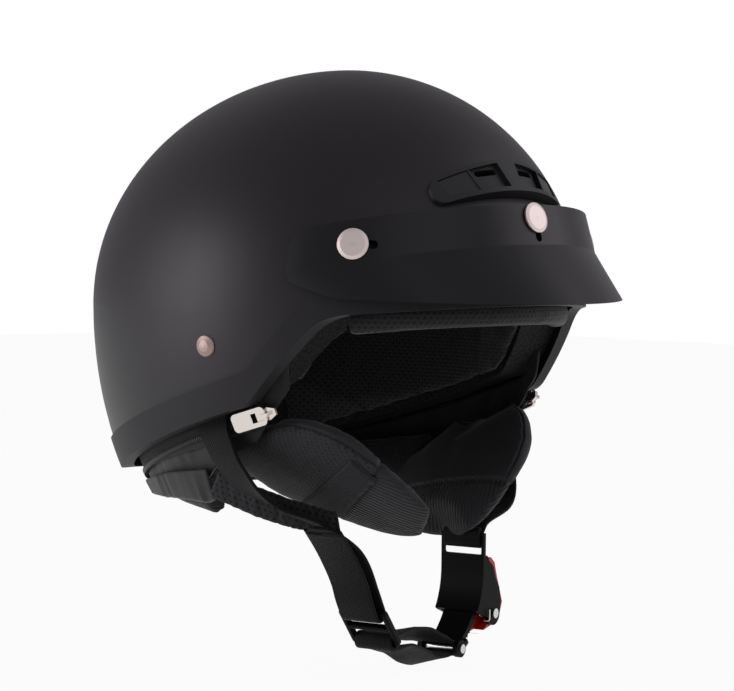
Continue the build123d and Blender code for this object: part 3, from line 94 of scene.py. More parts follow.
def blend_colours(share, first, second):
    """Colour between two colours, by a share that changes over the surface."""
    return add_node(share.id_data, "Mix", {0: share, 6: first, 7: second}, data_type="RGBA").outputs[2]


def new_group(name, inputs, outputs):
    """An empty shader node group, what it is given, and its last node."""
    group = bpy.data.node_groups.new(name, "ShaderNodeTree")
    for socket_name, kind, value in inputs:
        socket = group.interface.new_socket(socket_name, in_out="INPUT", socket_type="NodeSocket" + kind)
        if value is not None:
            socket.default_value = value
    for socket_name, kind in outputs:
        group.interface.new_socket(socket_name, in_out="OUTPUT", socket_type="NodeSocket" + kind)
    return group, group.nodes.new("NodeGroupInput").outputs, group.nodes.new("NodeGroupOutput")


def new_finish(name, colour, roughness, specular=0.3, metallic=0.0):
    """A material with its constants set on the shader itself."""
    finish = bpy.data.materials.new(name)
    finish.use_nodes = True
    shader = finish.node_tree.nodes["Principled BSDF"]
    feed(shader, {"Base Color": (*colour, 1), "Roughness": roughness, "Specular IOR Level": specular,
                  "Metallic": metallic})
    return finish, finish.node_tree, shader


def raise_bump(shader, height, distance):
    """Bump on a shader from a height that changes over the surface."""
    bump = add_node(shader.id_data, "Bump", {"Height": height, "Distance": distance, "Strength": 1.0})
    feed(shader, {"Normal": bump.outputs["Normal"]})


# Moulded and painted surfaces share one effect: fine grain, slow blotches and thin scuffs
surface, given, g_out = new_group(
    "moulded_surface",
    [("Grain Scale", "Float", 900.0), ("Blotch Scale", "Float", 18.0), ("Roughness", "Float", 0.45),
     ("Roughness Spread", "Float", 0.1), ("Colour", "Color", (0.02, 0.02, 0.02, 1)),
     ("Worn Colour", "Color", (0.05, 0.05, 0.05, 1)), ("Scuffs", "Float", 0.3)],
    [("Colour", "Color"), ("Roughness", "Float"), ("Height", "Float")],
)
where = add_node(surface, "TexCoord").outputs["Object"]
grain = speckle(where, given["Grain Scale"], 2.0)
blotch = speckle(where, given["Blotch Scale"], 4.0)
stretched = add_node(surface, "Mapping", {
    "Vector": where, "Rotation": (0.4, 0.9, 0.3), "Scale": (28.0, 420.0, 160.0)}).outputs[0]
streak = ramp(speckle(stretched, 1.0, 3.0), 0.66, 0.74)
patch = ramp(blotch, 0.5, 0.64)
scuff = times(times(streak, patch), given["Scuffs"])
spread = times(maths("SUBTRACT", blotch, 0.5), given["Roughness Spread"])
rough = maths("ADD", maths("MULTIPLY_ADD", scuff, 0.12, spread), given["Roughness"])
tone = blend_colours(scuff, given["Colour"], given["Worn Colour"])
feed(g_out, {"Colour": tone, "Roughness": rough, "Height": grain})


def moulded_finish(name, colour, worn, roughness, spread, grain_scale, bump,
                   specular=0.3, metallic=0.0, scuffs=0.3):
    """A moulded, painted or plated surface with its own values for the shared effect."""
    finish, tree, shader = new_finish(name, colour, roughness, specular, metallic)
    effect = add_node(tree, "Group", node_tree=surface)
    feed(effect, {"Grain Scale": grain_scale, "Roughness": roughness, "Roughness Spread": spread,
                  "Colour": (*colour, 1), "Worn Colour": (*worn, 1), "Scuffs": scuffs})
    feed(shader, {"Base Color": effect.outputs["Colour"], "Roughness": effect.outputs["Roughness"]})
    raise_bump(shader, effect.outputs["Height"], bump)
    return finish


def dress(finish, *nodes):
    """The solids of some nodes get their finish."""
    for node in nodes:
        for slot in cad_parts[node].material_slots:
            slot.material = finish


dress(moulded_finish(
    "shell_satin_black", (0.0082, 0.0068, 0.0090), (0.030, 0.028, 0.032), 0.45, 0.08, 520.0, 0.00002,
    specular=0.32),
    "outer_shell")

# The edge trim is a soft black rubber channel, extruded in one length and pressed over
# the shell's edge, with a matt and very finely grained face.
dress(moulded_finish(
    "trim_rubber", (0.0100, 0.0090, 0.0108), (0.02, 0.02, 0.02), 0.58, 0.12, 1500.0, 0.00003, specular=0.26),
    "edge_trim")

# The impact liner is one block of black bead foam, moulded to the shell's inside. Its beads
# show as small shallow cells.
foam_black, foam_tree, foam_shader = new_finish("bead_foam", (0.014, 0.014, 0.015), 0.8, 0.15)
foam_place = add_node(foam_tree, "TexCoord").outputs["Object"]
beads = add_node(foam_tree, "TexVoronoi", {"Vector": foam_place, "Scale": 330.0},
                 feature="DISTANCE_TO_EDGE")
bead_wall = ramp(beads.outputs["Distance"], 0.0, 0.12)
# The beads' walls are painted darker, as shade in the grooves between the beads
feed(foam_shader, {"Base Color": blend_colours(bead_wall, (0.006, 0.006, 0.006, 1), (0.017, 0.017, 0.018, 1)),
                   "Roughness": maths("MULTIPLY_ADD", bead_wall, -0.12, 0.88)})
raise_bump(foam_shader, bead_wall, 0.0002)
dress(foam_black, "impact_liner")

# The comfort lining is three foam pads under a black diagonal air mesh: one over the crown
# and one at each temple. They are cut, wrapped, heat-welded at the rim and stuck in.
lining_voxel = 0.0035
lining_pull_in = 0.0012
lining_swell = 0.0024
mesh_pitch = 0.0027
sheen_roughness = 0.5
cloth_frames = 20


def apply_modifier(piece, modifier):
    """Applies one modifier of a piece, which becomes the only one selected."""
    bpy.ops.object.select_all(action="DESELECT")
    piece.select_set(True)
    bpy.context.view_layer.objects.active = piece
    bpy.ops.object.modifier_apply(modifier=modifier.name)


def shape_by(piece, kind, **settings):
    """Adds a modifier with its settings and applies it."""
    modifier = piece.modifiers.new(kind.lower(), kind)
    for key, value in settings.items():
        setattr(modifier, key, value)
    apply_modifier(piece, modifier)


def place_object(name, data):
    """An object in the scene, at the origin."""
    thing = bpy.data.objects.new(name, data)
    scene.collection.objects.link(thing)
    return thing


def piece_from(work, name):
    """An object in the scene from a bmesh, at the origin."""
    mesh = bpy.data.meshes.new(name)
    work.to_mesh(mesh)
    work.free()
    return place_object(name, mesh)


def merged_copy(node, name):
    """Own copy of a solid's surface, with its loose triangles merged."""
    work = bmesh.new()
    work.from_mesh(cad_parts[node].data)
    bmesh.ops.remove_doubles(work, verts=work.verts, dist=0.00001)
    for face in work.faces:
        face.smooth = True
    return piece_from(work, name)


def stuff_pad(node, voxel, pull_in, swell, pressure=4.0, fuller=None):
    """A pad in place of its solid: made fuller, remeshed, drawn in, blown up as cloth and capped."""
    piece = merged_copy(node, node + "_cloth")
    if fuller:
        for vertex in piece.data.vertices:
            vertex.co = fuller(vertex.co)
    shape_by(piece, "REMESH", mode="VOXEL", voxel_size=voxel)
    for vertex in piece.data.vertices:
        vertex.co -= vertex.normal * pull_in
    shape_by(piece, "SMOOTH", factor=0.5, iterations=3)
    start = [vertex.co.copy() for vertex in piece.data.vertices]
    cloth = piece.modifiers.new("cloth", "CLOTH")
    cloth.settings.use_pressure = True
    cloth.settings.uniform_pressure_force = pressure
    cloth.settings.effector_weights.gravity = 0
    for number in range(1, cloth_frames + 1):
        scene.frame_set(number)
    apply_modifier(piece, cloth)
    scene.frame_set(1)
    for vertex, before in zip(piece.data.vertices, start):
        moved = vertex.co - before
        if moved.length > swell:
            vertex.co = before + moved.normalized() * swell
    shape_by(piece, "SUBSURF", levels=1, render_levels=1)
    for polygon in piece.data.polygons:
        polygon.use_smooth = True
    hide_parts(node)
    return piece


def lay_pattern(piece, spots):
    """UV map of a piece in metres, from a place for each point."""
    layer = piece.data.uv_layers.new(name="pattern")
    for loop in piece.data.loops:
        layer.data[loop.index].uv = spots[loop.vertex_index]


# Cloth surfaces share a weave: two crossing sets of threads
weave, given, g_out = new_group(
    "woven_threads",
    [("Vector", "Vector", None), ("Pitch", "Float", 0.001), ("Turn", "Float", 0.0)],
    [("Height", "Float"), ("Gaps", "Float")],
)
turned_way = add_node(weave, "VectorRotate", {
    "Vector": given["Vector"], "Angle": given["Turn"]}, rotation_type="Z_AXIS").outputs[0]
ways = add_node(weave, "SeparateXYZ", {0: turned_way})
turns = maths("DIVIDE", 2 * pi, given["Pitch"])
warp = maths("SINE", times(ways.outputs[0], turns))
weft = maths("SINE", times(ways.outputs[1], turns))
height = maths("MULTIPLY_ADD", times(warp, weft), 0.5, 0.5)
gaps = ramp(maths("MAXIMUM", warp, weft), -0.75, 0.1, 1.0, 0.0)
feed(g_out, {"Height": height, "Gaps": gaps})


def cloth_base(name, colour, roughness, specular, sheen, wear_scale):
    """What all cloths share: their sheen, the pattern's place, and wear with the colour it leaves."""
    finish, tree, shader = new_finish(name, colour, roughness, specular)
    feed(shader, {"Sheen Weight": sheen, "Sheen Roughness": sheen_roughness})
    where = add_node(tree, "UVMap", uv_map="pattern").outputs[0]
    wear = speckle(where, wear_scale, 4.0)
    lighter = tuple(1.5 * value for value in colour)
    worn = blend_colours(wear, (*colour, 1), (*lighter, 1))
    return finish, tree, shader, where, wear, worn


def woven_finish(name, colour, gap_colour, roughness, pitch, bump, turn=0.0, specular=0.15, sheen=0.15):
    """A woven or knitted cloth, by its own threads and colours."""
    finish, tree, shader, where, wear, worn = cloth_base(name, colour, roughness, specular, sheen, 90.0)
    threads = add_node(tree, "Group", {"Vector": where, "Pitch": pitch, "Turn": turn}, node_tree=weave)
    feed(shader, {"Base Color": blend_colours(threads.outputs["Gaps"], worn, (*gap_colour, 1)),
                  "Roughness": maths("MULTIPLY_ADD", wear, 0.16, roughness - 0.08)})
    raise_bump(shader, threads.outputs["Height"], bump)
    return finish


air_mesh = woven_finish(
    "air_mesh", (0.016, 0.016, 0.017), (0.003, 0.003, 0.003), 0.75, mesh_pitch, 0.0003, turn=0.785)
for node, across, along in (("crown_pad", 0, 1), ("temple_pad_left", 1, 2), ("temple_pad_right", 1, 2)):
    pad = stuff_pad(node, lining_voxel, lining_pull_in, lining_swell)
    lay_pattern(pad, [(vertex.co[across], vertex.co[along]) for vertex in pad.data.vertices])
    pad.data.materials.append(air_mesh)
    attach(pad, "helmet")

# The brow and nape rolls are foam cores sewn into perforated black cloth. They hang under
# the lining's edge, held by a welt between liner and shell, and keep the rim off the skin.
roll_voxel = 0.0032
roll_pull_in = 0.0014
roll_swell = 0.0026
dot_pitch = 0.0031
dot_share = 0.24
roll_girth = 1.15

# Perforated cloth shares staggered rows of round holes
punch, given, g_out = new_group(
    "punched_holes",
    [("Vector", "Vector", None), ("Pitch", "Float", 0.003), ("Radius Share", "Float", 0.25)],
    [("Holes", "Float")],
)
ways = add_node(punch, "SeparateXYZ", {0: given["Vector"]})
row = maths("DIVIDE", ways.outputs[1], times(given["Pitch"], 0.866))
row_number = maths("FLOOR", row)
shift = times(maths("FLOORED_MODULO", row_number, 2.0), 0.5)
column = maths("ADD", maths("DIVIDE", ways.outputs[0], given["Pitch"]), shift)
away_u = maths("SUBTRACT", maths("FRACT", column), 0.5)
away_v = maths("SUBTRACT", maths("FRACT", row), 0.5)
away = maths("SQRT", maths("MULTIPLY_ADD", away_u, away_u, times(away_v, away_v)))
rim = maths("SUBTRACT", away, given["Radius Share"])
feed(g_out, {"Holes": ramp(rim, -0.04, 0.05, 1.0, 0.0)})


def punched_finish(name, colour, roughness, pitch, radius_share, bump, mask=None):
    """Smooth cloth with punched holes; mask names an attribute that keeps them to one panel."""
    finish, tree, shader, where, wear, worn = cloth_base(name, colour, roughness, 0.2, 0.12, 70.0)
    dots = {"Vector": where, "Pitch": pitch, "Radius Share": radius_share}
    punched = add_node(tree, "Group", dots, node_tree=punch).outputs[0]
    threads = add_node(tree, "Group", {"Vector": where, "Pitch": 0.0009}, node_tree=weave).outputs["Height"]
    if mask:
        panel = add_node(tree, "Attribute", attribute_name=mask).outputs["Fac"]
        punched = times(punched, panel)
    # The holes are real openings; their near black colour is painted shade inside them
    feed(shader, {"Base Color": blend_colours(punched, worn, (0.0015, 0.0015, 0.0015, 1)),
                  "Roughness": maths("MULTIPLY_ADD", wear, 0.2, roughness - 0.1)})
    relief = maths("MULTIPLY_ADD", threads, 0.12, times(punched, -1.0))
    if mask:
        ribbed = add_node(tree, "Attribute", attribute_name="ribbed_panel").outputs["Fac"]
        ways = add_node(tree, "SeparateXYZ", {0: where})
        rib = maths("SINE", times(ways.outputs[0], 2 * pi / 0.0021))
        relief = maths("MULTIPLY_ADD", times(rib, ribbed), 0.6, relief)
    raise_bump(shader, relief, bump)
    return finish


roll_cloth = punched_finish("roll_cloth", (0.012, 0.012, 0.013), 0.62, dot_pitch, dot_share, 0.0004)
for node, way, middle in (("brow_pad", -1, 0.112), ("nape_pad", 1, 0.125)):
    roll = stuff_pad(node, roll_voxel, roll_pull_in, roll_swell, pressure=5.0)
    spots = [vertex.co for vertex in roll.data.vertices]
    lay_pattern(roll, [(atan2(spot.x, way * spot.y) * middle, spot.z * roll_girth) for spot in spots])
    roll.data.materials.append(roll_cloth)
    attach(roll, "helmet")

# The air intake on the brow is a moulded housing of black plastic, clipped on over the shell.
# A small grained slider in each half opens or closes its slot.
dress(moulded_finish(
    "vent_plastic", (0.0095, 0.0095, 0.010), (0.03, 0.03, 0.03), 0.5, 0.1, 1100.0, 0.00004),
    "vent_housing")
dress(moulded_finish(
    "slider_plastic", (0.011, 0.011, 0.0115), (0.035, 0.035, 0.035), 0.42, 0.1, 1400.0, 0.00003, specular=0.33),
    "vent_slider_left", "vent_slider_right")

# The sun visor is a moulded peak of tough black plastic with a satin face. It is held by
# three press studs and pulls straight off.
dress(moulded_finish(
    "visor_plastic", (0.0060, 0.0054, 0.0062), (0.024, 0.023, 0.026), 0.34, 0.08, 420.0, 0.000016, specular=0.24),
    "visor")

# Each press stud is nickel-plated steel and brass: a cap and a socket on the visor, and
# a stud that is riveted to the shell.


def plated_finish(name, colour, worn, roughness, spread, grain_scale, bump, scuffs=0.6):
    """Bare or plated metal."""
    return moulded_finish(name, colour, worn, roughness, spread, grain_scale, bump, 0.5, 1.0, scuffs)


dress(plated_finish(
    "cap_nickel", (0.74, 0.66, 0.62), (0.5, 0.45, 0.42), 0.52, 0.10, 700.0, 0.00001),
    "visor_snap_caps")
dress(plated_finish(
    "socket_nickel", (0.55, 0.52, 0.48), (0.35, 0.33, 0.3), 0.3, 0.12, 900.0, 0.00001),
    "visor_snap_sockets", "snap_studs")

# The strap rivets are tubular steel with a domed and lightly coppered head, set through
# the shell and the end plate of each strap. The plates are pressed steel under black paint.
dress(plated_finish(
    "rivet_copper", (0.33, 0.25, 0.22), (0.2, 0.15, 0.13), 0.5, 0.16, 800.0, 0.00002, 0.7),
    "strap_rivets")
dress(moulded_finish(
    "plate_paint", (0.02, 0.02, 0.021), (0.2, 0.2, 0.2), 0.45, 0.1, 900.0, 0.00002, specular=0.4, scuffs=0.6),
    "anchor_plates")

# The neck curtain is a skirt of black coated cloth. It is tucked up behind the trim, goes
# round the back of the helmet from ear to ear, and hangs in shallow creases.
half_width, front_reach, rear_reach, crown_height, skirt_depth = 0.117, 0.1255, 0.1515, 0.1225, 0.178
edge_line = ((-0.156, 0.0075), (-0.0755, -0.0009), (-0.0394, -0.0446), (0.1, -0.0884), (0.182, -0.094))
curtain_line = ((-0.0515, -0.0356), (-0.0303, -0.0641), (-0.0030, -0.0765), (0.0227, -0.0961), (0.1818, -0.0997))
cuff_low_line = ((-0.0152, -0.0867), (0.0091, -0.0970), (0.0303, -0.0970), (0.0970, -0.1006), (0.1818, -0.1015))
cuff_high_line = ((-0.0152, -0.0774), (0.0364, -0.0835), (0.0894, -0.0940), (0.1818, -0.0961))
curtain_depth = 0.0116
curtain_lift = 0.007
curtain_cloth_wall = 0.0011
curtain_first_turn = 63.0
curtain_count = 180


def level_on(line, y):
    """Height of a line seen from the side, at the place y."""
    for (y0, z0), (y1, z1) in zip(line, line[1:]):
        if y <= y1:
            return z0 + (z1 - z0) * (y - y0) / (y1 - y0)
    return line[-1][1]


def dome_spot(turn, z, depth):
    """Point on the shell's form drawn in by depth, at a plan turn from the front and a height."""
    height = (crown_height if z > 0 else skirt_depth) - depth
    ring = sqrt(1 - (z / height) ** 2)
    reach = front_reach if cos(radians(turn)) > 0 else rear_reach
    across, ahead = sin(radians(turn)), cos(radians(turn))
    return Vector(((half_width - depth) * ring * across, -(reach - depth) * ring * ahead, z))


def settle_level(turn, line, lift, depth):
    """Height at which a column of the dome meets a line."""
    z = -0.06
    for _ in range(12):
        z = level_on(line, dome_spot(turn, z, depth).y) + lift
    return z


def dome_way_out(spot):
    """Direction straight out of the shell's form."""
    height = crown_height if spot.z > 0 else skirt_depth
    reach = front_reach if spot.y < 0 else rear_reach
    return Vector((spot.x / half_width**2, spot.y / reach**2, spot.z / height**2)).normalized()


def grid_faces(work, columns, uv_of):
    """Faces through columns of points, with the UV that uv_of gives for a column and a row."""
    layer = work.loops.layers.uv.new("pattern")
    grid = [[work.verts.new(spot) for spot in column] for column in columns]
    for i in range(len(grid) - 1):
        for j in range(len(grid[0]) - 1):
            corners = ((i, j), (i + 1, j), (i + 1, j + 1), (i, j + 1))
            face = work.faces.new([grid[a][b] for a, b in corners])
            face.smooth = True
            for loop, (a, b) in zip(face.loops, corners):
                loop[layer].uv = uv_of(a, b)


def cloth_grid(name, columns, thickness, crease):
    """Sheet of cloth through columns of points, with its UV in metres, creased and thickened."""
    work = bmesh.new()
    along = [0.0]
    for first, second in zip(columns, columns[1:]):
        along.append(along[-1] + (second[0] - first[0]).length)
    grid_faces(work, columns, lambda a, b: (
        along[a], sum((columns[a][n + 1] - columns[a][n]).length for n in range(b))))
    area = sum(face.calc_area() for face in work.faces)
    piece = piece_from(work, name)
    for vertex in piece.data.vertices:
        vertex.co += dome_way_out(vertex.co) * crease(vertex.co)
    shape_by(piece, "SOLIDIFY", thickness=thickness, offset=0)
    return piece, along[-1], area


def soft_crease(spot, height, stretch, seed):
    """Height of cloth creases: folds that run down, broken by smaller ones."""
    turn = atan2(spot.x, spot.y)
    folds = noise.noise(Vector((turn * stretch, spot.z * 18, seed)))
    small = noise.noise(Vector((turn * stretch * 2.6, spot.z * 70, seed + 5)))
    return height * (folds + 0.5 * small)


curtain_columns = []
for number in range(curtain_count + 1):
    turn = curtain_first_turn + (360 - 2 * curtain_first_turn) * number / curtain_count
    top = settle_level(turn, edge_line, curtain_lift, curtain_depth)
    low = settle_level(turn, curtain_line, 0.0, curtain_depth)
    curtain_columns.append([dome_spot(turn, top + (low - top) * step / 16, curtain_depth) for step in range(17)])
curtain, curtain_run, curtain_area = cloth_grid(
    "curtain_cloth", curtain_columns, curtain_cloth_wall, lambda spot: soft_crease(spot, 0.0010, 14.0, 2.0))
curtain_fabric = woven_finish("coated_cloth", (0.0072, 0.0066, 0.0074), (0.004, 0.004, 0.004),
                              0.5, 0.0011, 0.00012, specular=0.28, sheen=0.05)
curtain.data.materials.append(curtain_fabric)
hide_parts("neck_curtain")
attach(curtain, "helmet")

# The cuff is the curtain's turned-up lower edge, a second sheet folded over at the bottom
# and stitched. It is slack, so it wrinkles along the nape.
cuff_depth = 0.0081
cuff_inner_depth = 0.0102
cuff_fold = 0.0035
cuff_cloth_wall = 0.0010
cuff_first_turn = 91.5
cuff_count = 160
cuff_bottom_radius = 0.0008
cuff_middle = (cuff_depth + cuff_inner_depth) / 2
cuff_columns = []
for number in range(cuff_count + 1):
    turn = cuff_first_turn + (360 - 2 * cuff_first_turn) * number / cuff_count
    top = settle_level(turn, cuff_high_line, 0.0, cuff_depth)
    low = settle_level(turn, cuff_low_line, cuff_bottom_radius, cuff_depth)
    column = [dome_spot(turn, top + (low - top) * step / 9, cuff_depth) for step in range(10)]
    column.append(dome_spot(turn, low - cuff_bottom_radius, cuff_middle))
    column += [dome_spot(turn, low + cuff_fold * step / 3, cuff_inner_depth) for step in range(4)]
    cuff_columns.append(column)
cuff, cuff_run, cuff_area = cloth_grid(
    "cuff_cloth", cuff_columns, cuff_cloth_wall, lambda spot: soft_crease(spot, 0.0007, 22.0, 9.0))
cuff.data.materials.append(curtain_fabric)
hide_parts("neck_cuff")
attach(cuff, "helmet")

# The zip joins the curtain to the helmet: a woven tape with moulded teeth in two rows,
# closed along its length, and a nickel slider with its pull at each end.
tooth_pitch = 0.0019
tooth_rise = 0.0011
tooth_height = 0.0017
zip_depth = 0.0096
zip_drop = 0.0055
tape_half_height = 0.0057
tape_pitch = 0.004
tape_wall = 0.0006
tape_lift = 0.0008
zip_first_y = -0.0395


def zip_line(depth):
    """Points along the zip's middle, from the left end round the nape to the right end."""
    spots = []
    for number in range(400):
        turn = 60 + 240 * number / 399
        z = settle_level(turn, edge_line, -zip_drop, depth)
        spot = dome_spot(turn, z, depth)
        if spot.y >= zip_first_y:
            spots.append(spot)
    return spots


def even_stations(spots, pitch):
    """Places at an even pitch along a line of points, each with its way ahead."""
    stations = []
    due = pitch / 2
    gone = 0.0
    for first, second in zip(spots, spots[1:]):
        step = (second - first).length
        while due <= gone + step:
            stations.append((first + (second - first) * ((due - gone) / step), (second - first).normalized()))
            due += pitch
        gone += step
    return stations


tape_columns = []
for spot, _ in even_stations(zip_line(zip_depth), tape_pitch):
    turn = atan2(spot.x, -spot.y) * 180 / pi % 360
    tape_columns.append([dome_spot(turn, spot.z + tape_lift + tape_half_height * (1 - step / 2), zip_depth)
                         for step in range(5)])
zip_tape, tape_run, tape_area = cloth_grid("zip_tape", tape_columns, tape_wall, lambda spot: 0.0)
tape_cloth = woven_finish("tape_cloth", (0.011, 0.011, 0.012), (0.004, 0.004, 0.004), 0.7, 0.0008, 0.00012)
zip_tape.data.materials.append(tape_cloth)
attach(zip_tape, "helmet")

bpy.ops.mesh.primitive_cube_add(size=1, location=(0, 0, 0))
tooth = bpy.context.object
tooth.scale = (tooth_pitch * 0.52, tooth_rise, tooth_height)
bpy.ops.object.transform_apply(scale=True)
bpy.ops.object.mode_set(mode="EDIT")
bpy.ops.mesh.select_all(action="SELECT")
bpy.ops.mesh.bevel(offset=0.00018, segments=1)
bpy.ops.object.mode_set(mode="OBJECT")
tooth_mesh = tooth.data
teeth = bmesh.new()
for number, (spot, ahead) in enumerate(even_stations(zip_line(zip_depth - 0.0009), tooth_pitch / 2)):
    out = dome_way_out(spot)
    down = ahead.cross(out).normalized()
    middle = spot + down * (tooth_height * 0.32 if number % 2 else -tooth_height * 0.32)
    turn_to = Matrix((ahead, out, down)).transposed().to_4x4()
    stamp = tooth_mesh.copy()
    stamp.transform(Matrix.Translation(middle) @ turn_to)
    teeth.from_mesh(stamp)
    bpy.data.meshes.remove(stamp)
bmesh.ops.recalc_face_normals(teeth, faces=teeth.faces)
zip_teeth = piece_from(teeth, "zip_teeth")
bpy.data.objects.remove(tooth)
tooth_plastic = moulded_finish(
    "tooth_plastic", (0.016, 0.016, 0.017), (0.04, 0.04, 0.04), 0.38, 0.1, 1500.0, 0.00001, specular=0.4)
zip_teeth.data.materials.append(tooth_plastic)
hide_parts("zip_chain")
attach(zip_teeth, "helmet")
dress(plated_finish(
    "zip_nickel", (0.72, 0.66, 0.62), (0.5, 0.48, 0.45), 0.16, 0.1, 600.0, 0.00001),
    "zip_slider_left", "zip_slider_right", "zip_pull_left", "zip_pull_right")

# The ear pads are foam cushions in black cloth, sewn from a perforated face, a smooth gusset
# and a finely ribbed end panel. Each hangs from inside the rim, between strap and cheek.
ear_voxel = 0.0036
ear_pull_in = 0.0022
ear_swell = 0.0046
ear_shares = {
    "right": (((-0.760, 0.160, 0.320), (-0.650, 0.345, 0.395), (-0.365, 0.610, 0.540)),
              ((-0.05, 0.95, -0.30), (0.36, 0.75, -0.55)), ((-0.85, -0.18, -0.43), (-0.65, -0.22, -0.73))),
    "left": (((0.742, 0.180, 0.320), (0.690, 0.200, 0.450), (0.500, 0.205, 0.620)),
             ((0.05, 0.95, -0.30), (0.10, 0.98, -0.18)), ((0.88, 0.05, -0.40), (0.85, -0.17, -0.48))),
}
ear_sizes = ((0.025, 0.031, 0.017), (0.011, 0.019, 0.010))  # half width, then wall: root, most, tip
ear_steps = 60
rib_start = 0.80
face_limit, seam_width = 0.62, 0.10
end_seam_half, seam_sink = 0.0016, 0.0011


def share_spot(shares):
    """Place given as shares of the shell's half width, front reach and skirt depth."""
    return Vector((half_width * shares[0], -front_reach * shares[1], -skirt_depth * shares[2]))


def bowed_spot(points, share):
    """Point on the smooth bow through three control points."""
    first, middle, last = [Vector(point) for point in points]
    rest = 1 - share
    return first * rest**2 + middle * (2 * share * rest) + last * share**2


def ear_station(side, share):
    """Middle of an ear pad at a share of its length, with its ways across and out, and its sizes."""
    path, across_ends, out_ends = ear_shares[side]
    middle = bowed_spot([share_spot(shares) for shares in path], share)
    rest = 1 - share
    across = (Vector(across_ends[0]) * rest + Vector(across_ends[1]) * share).normalized()
    out = Vector(out_ends[0]) * rest + Vector(out_ends[1]) * share
    out = (out - across * out.dot(across)).normalized()
    swell = sin(radians(180 * min(share, 1.0)**0.8))
    half, wall = [root * rest + tip * share + (most - (root + tip) / 2) * swell for root, most, tip in ear_sizes]
    return middle, across, out, half, wall


def ear_spot(spot, stations):
    """A point in its ear pad's own measures: share along, place across and place out, in metres."""
    share, middle, across, out, half, wall = min(stations, key=lambda row: abs(
        (spot - row[1]).dot(row[2].cross(row[3]))) + 0.1 * (spot - row[1]).length)
    gap = spot - middle
    return share, gap.dot(across), gap.dot(out), half, wall


def ease_in(value, first, last):
    """Smooth step from 0 at first to 1 at last."""
    t = min(max((value - first) / (last - first), 0.0), 1.0)
    return t * t * (3 - 2 * t)


# How far each pad's foam stands past its solid: along, and across to the front and the rear
ear_fuller = {"left": (1.20, 1.28, 2.00), "right": (1.17, 1.12, 1.20)}
ear_thicker = 0.12
ear_tuck = {"left": 0.007, "right": 0.0}


def fuller_ear(side, spot, stations):
    """A point of an ear pad moved out to the pad's full form."""
    longer, front, rear = ear_fuller[side]
    share, across, out, half, _ = ear_spot(spot, stations)
    gain = ease_in(share, 0.0, 0.5)
    inward = ear_tuck[side] * ease_in(across, 0.0, half)
    wider = 1 + ((front if across < 0 else rear) - 1) * gain
    middle, across_way, out_way, _, _ = ear_station(side, share * (1 + (longer - 1) * gain))
    _, old_middle, old_across, old_out, _, _ = stations[round(share * ear_steps)]
    ahead = spot - (old_middle + old_across * across + old_out * out)
    return middle + across_way * across * wider + out_way * (out * (1 + ear_thicker * gain) - inward) + ahead


ear_cloth = punched_finish("ear_cloth", (0.0125, 0.0125, 0.0135), 0.6, 0.0027, 0.23, 0.00035, mask="punched_panel")
for side in ("left", "right"):
    node = "ear_pad_" + side
    stations = [(n / ear_steps, *ear_station(side, n / ear_steps)) for n in range(ear_steps + 1)]
    pad = stuff_pad(node, ear_voxel, ear_pull_in, ear_swell, pressure=6.0,
                    fuller=lambda spot: fuller_ear(side, spot, stations))
    shape_by(pad, "SUBSURF", levels=1, render_levels=1)
    length = sum((b[1] - a[1]).length for a, b in zip(stations, stations[1:]))
    measures = [ear_spot(vertex.co, stations) for vertex in pad.data.vertices]
    normals = [vertex.normal.copy() for vertex in pad.data.vertices]
    panel = pad.data.attributes.new("punched_panel", "FLOAT", "POINT")
    ribs = pad.data.attributes.new("ribbed_panel", "FLOAT", "POINT")
    spots = []
    for number, (vertex, normal, (share, across, out, _, _)) in enumerate(
            zip(pad.data.vertices, normals, measures)):
        facing = normal.dot(stations[round(share * ear_steps)][3])
        panel.data[number].value = 1.0 if facing > face_limit and share < rib_start else 0.0
        ribs.data[number].value = 1.0 if share >= rib_start else 0.0
        seam = min(abs(abs(facing) - face_limit) / seam_width, 1.0) if share < rib_start else 1.0
        seam = min(seam, abs(share - rib_start) * length / end_seam_half)
        vertex.co -= normal * seam_sink * (1 - min(seam, 1.0) ** 2)
        spots.append((across + (out if abs(facing) < face_limit else 0.0), share * length))
    lay_pattern(pad, spots)
    pad.data.materials.append(ear_cloth)
    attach(pad, "helmet")

# The right ear pad's backing ends in a hem of perforated cloth. It hangs below the pad's
# lower side, behind the strap, from the cuff to near the pad's tip.
hem_low = ((-0.095, 0.002, -0.0925), (-0.082, -0.038, -0.1090), (-0.0615, -0.0575, -0.1095))
hem_high = ((-0.094, -0.004, -0.0800), (-0.080, -0.038, -0.0930), (-0.0640, -0.0560, -0.0980))
hem_count = 60
hem_wall = 0.0012
hem_columns = []
for number in range(hem_count + 1):
    high, low = bowed_spot(hem_high, number / hem_count), bowed_spot(hem_low, number / hem_count)
    hem_columns.append([high + (low - high) * step / 6 for step in range(7)])
hem, hem_run, hem_area = cloth_grid(
    "ear_hem_right", hem_columns, hem_wall, lambda spot: soft_crease(spot, 0.0008, 30.0, 4.0))
hem.data.materials.append(roll_cloth)
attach(hem, "helmet")

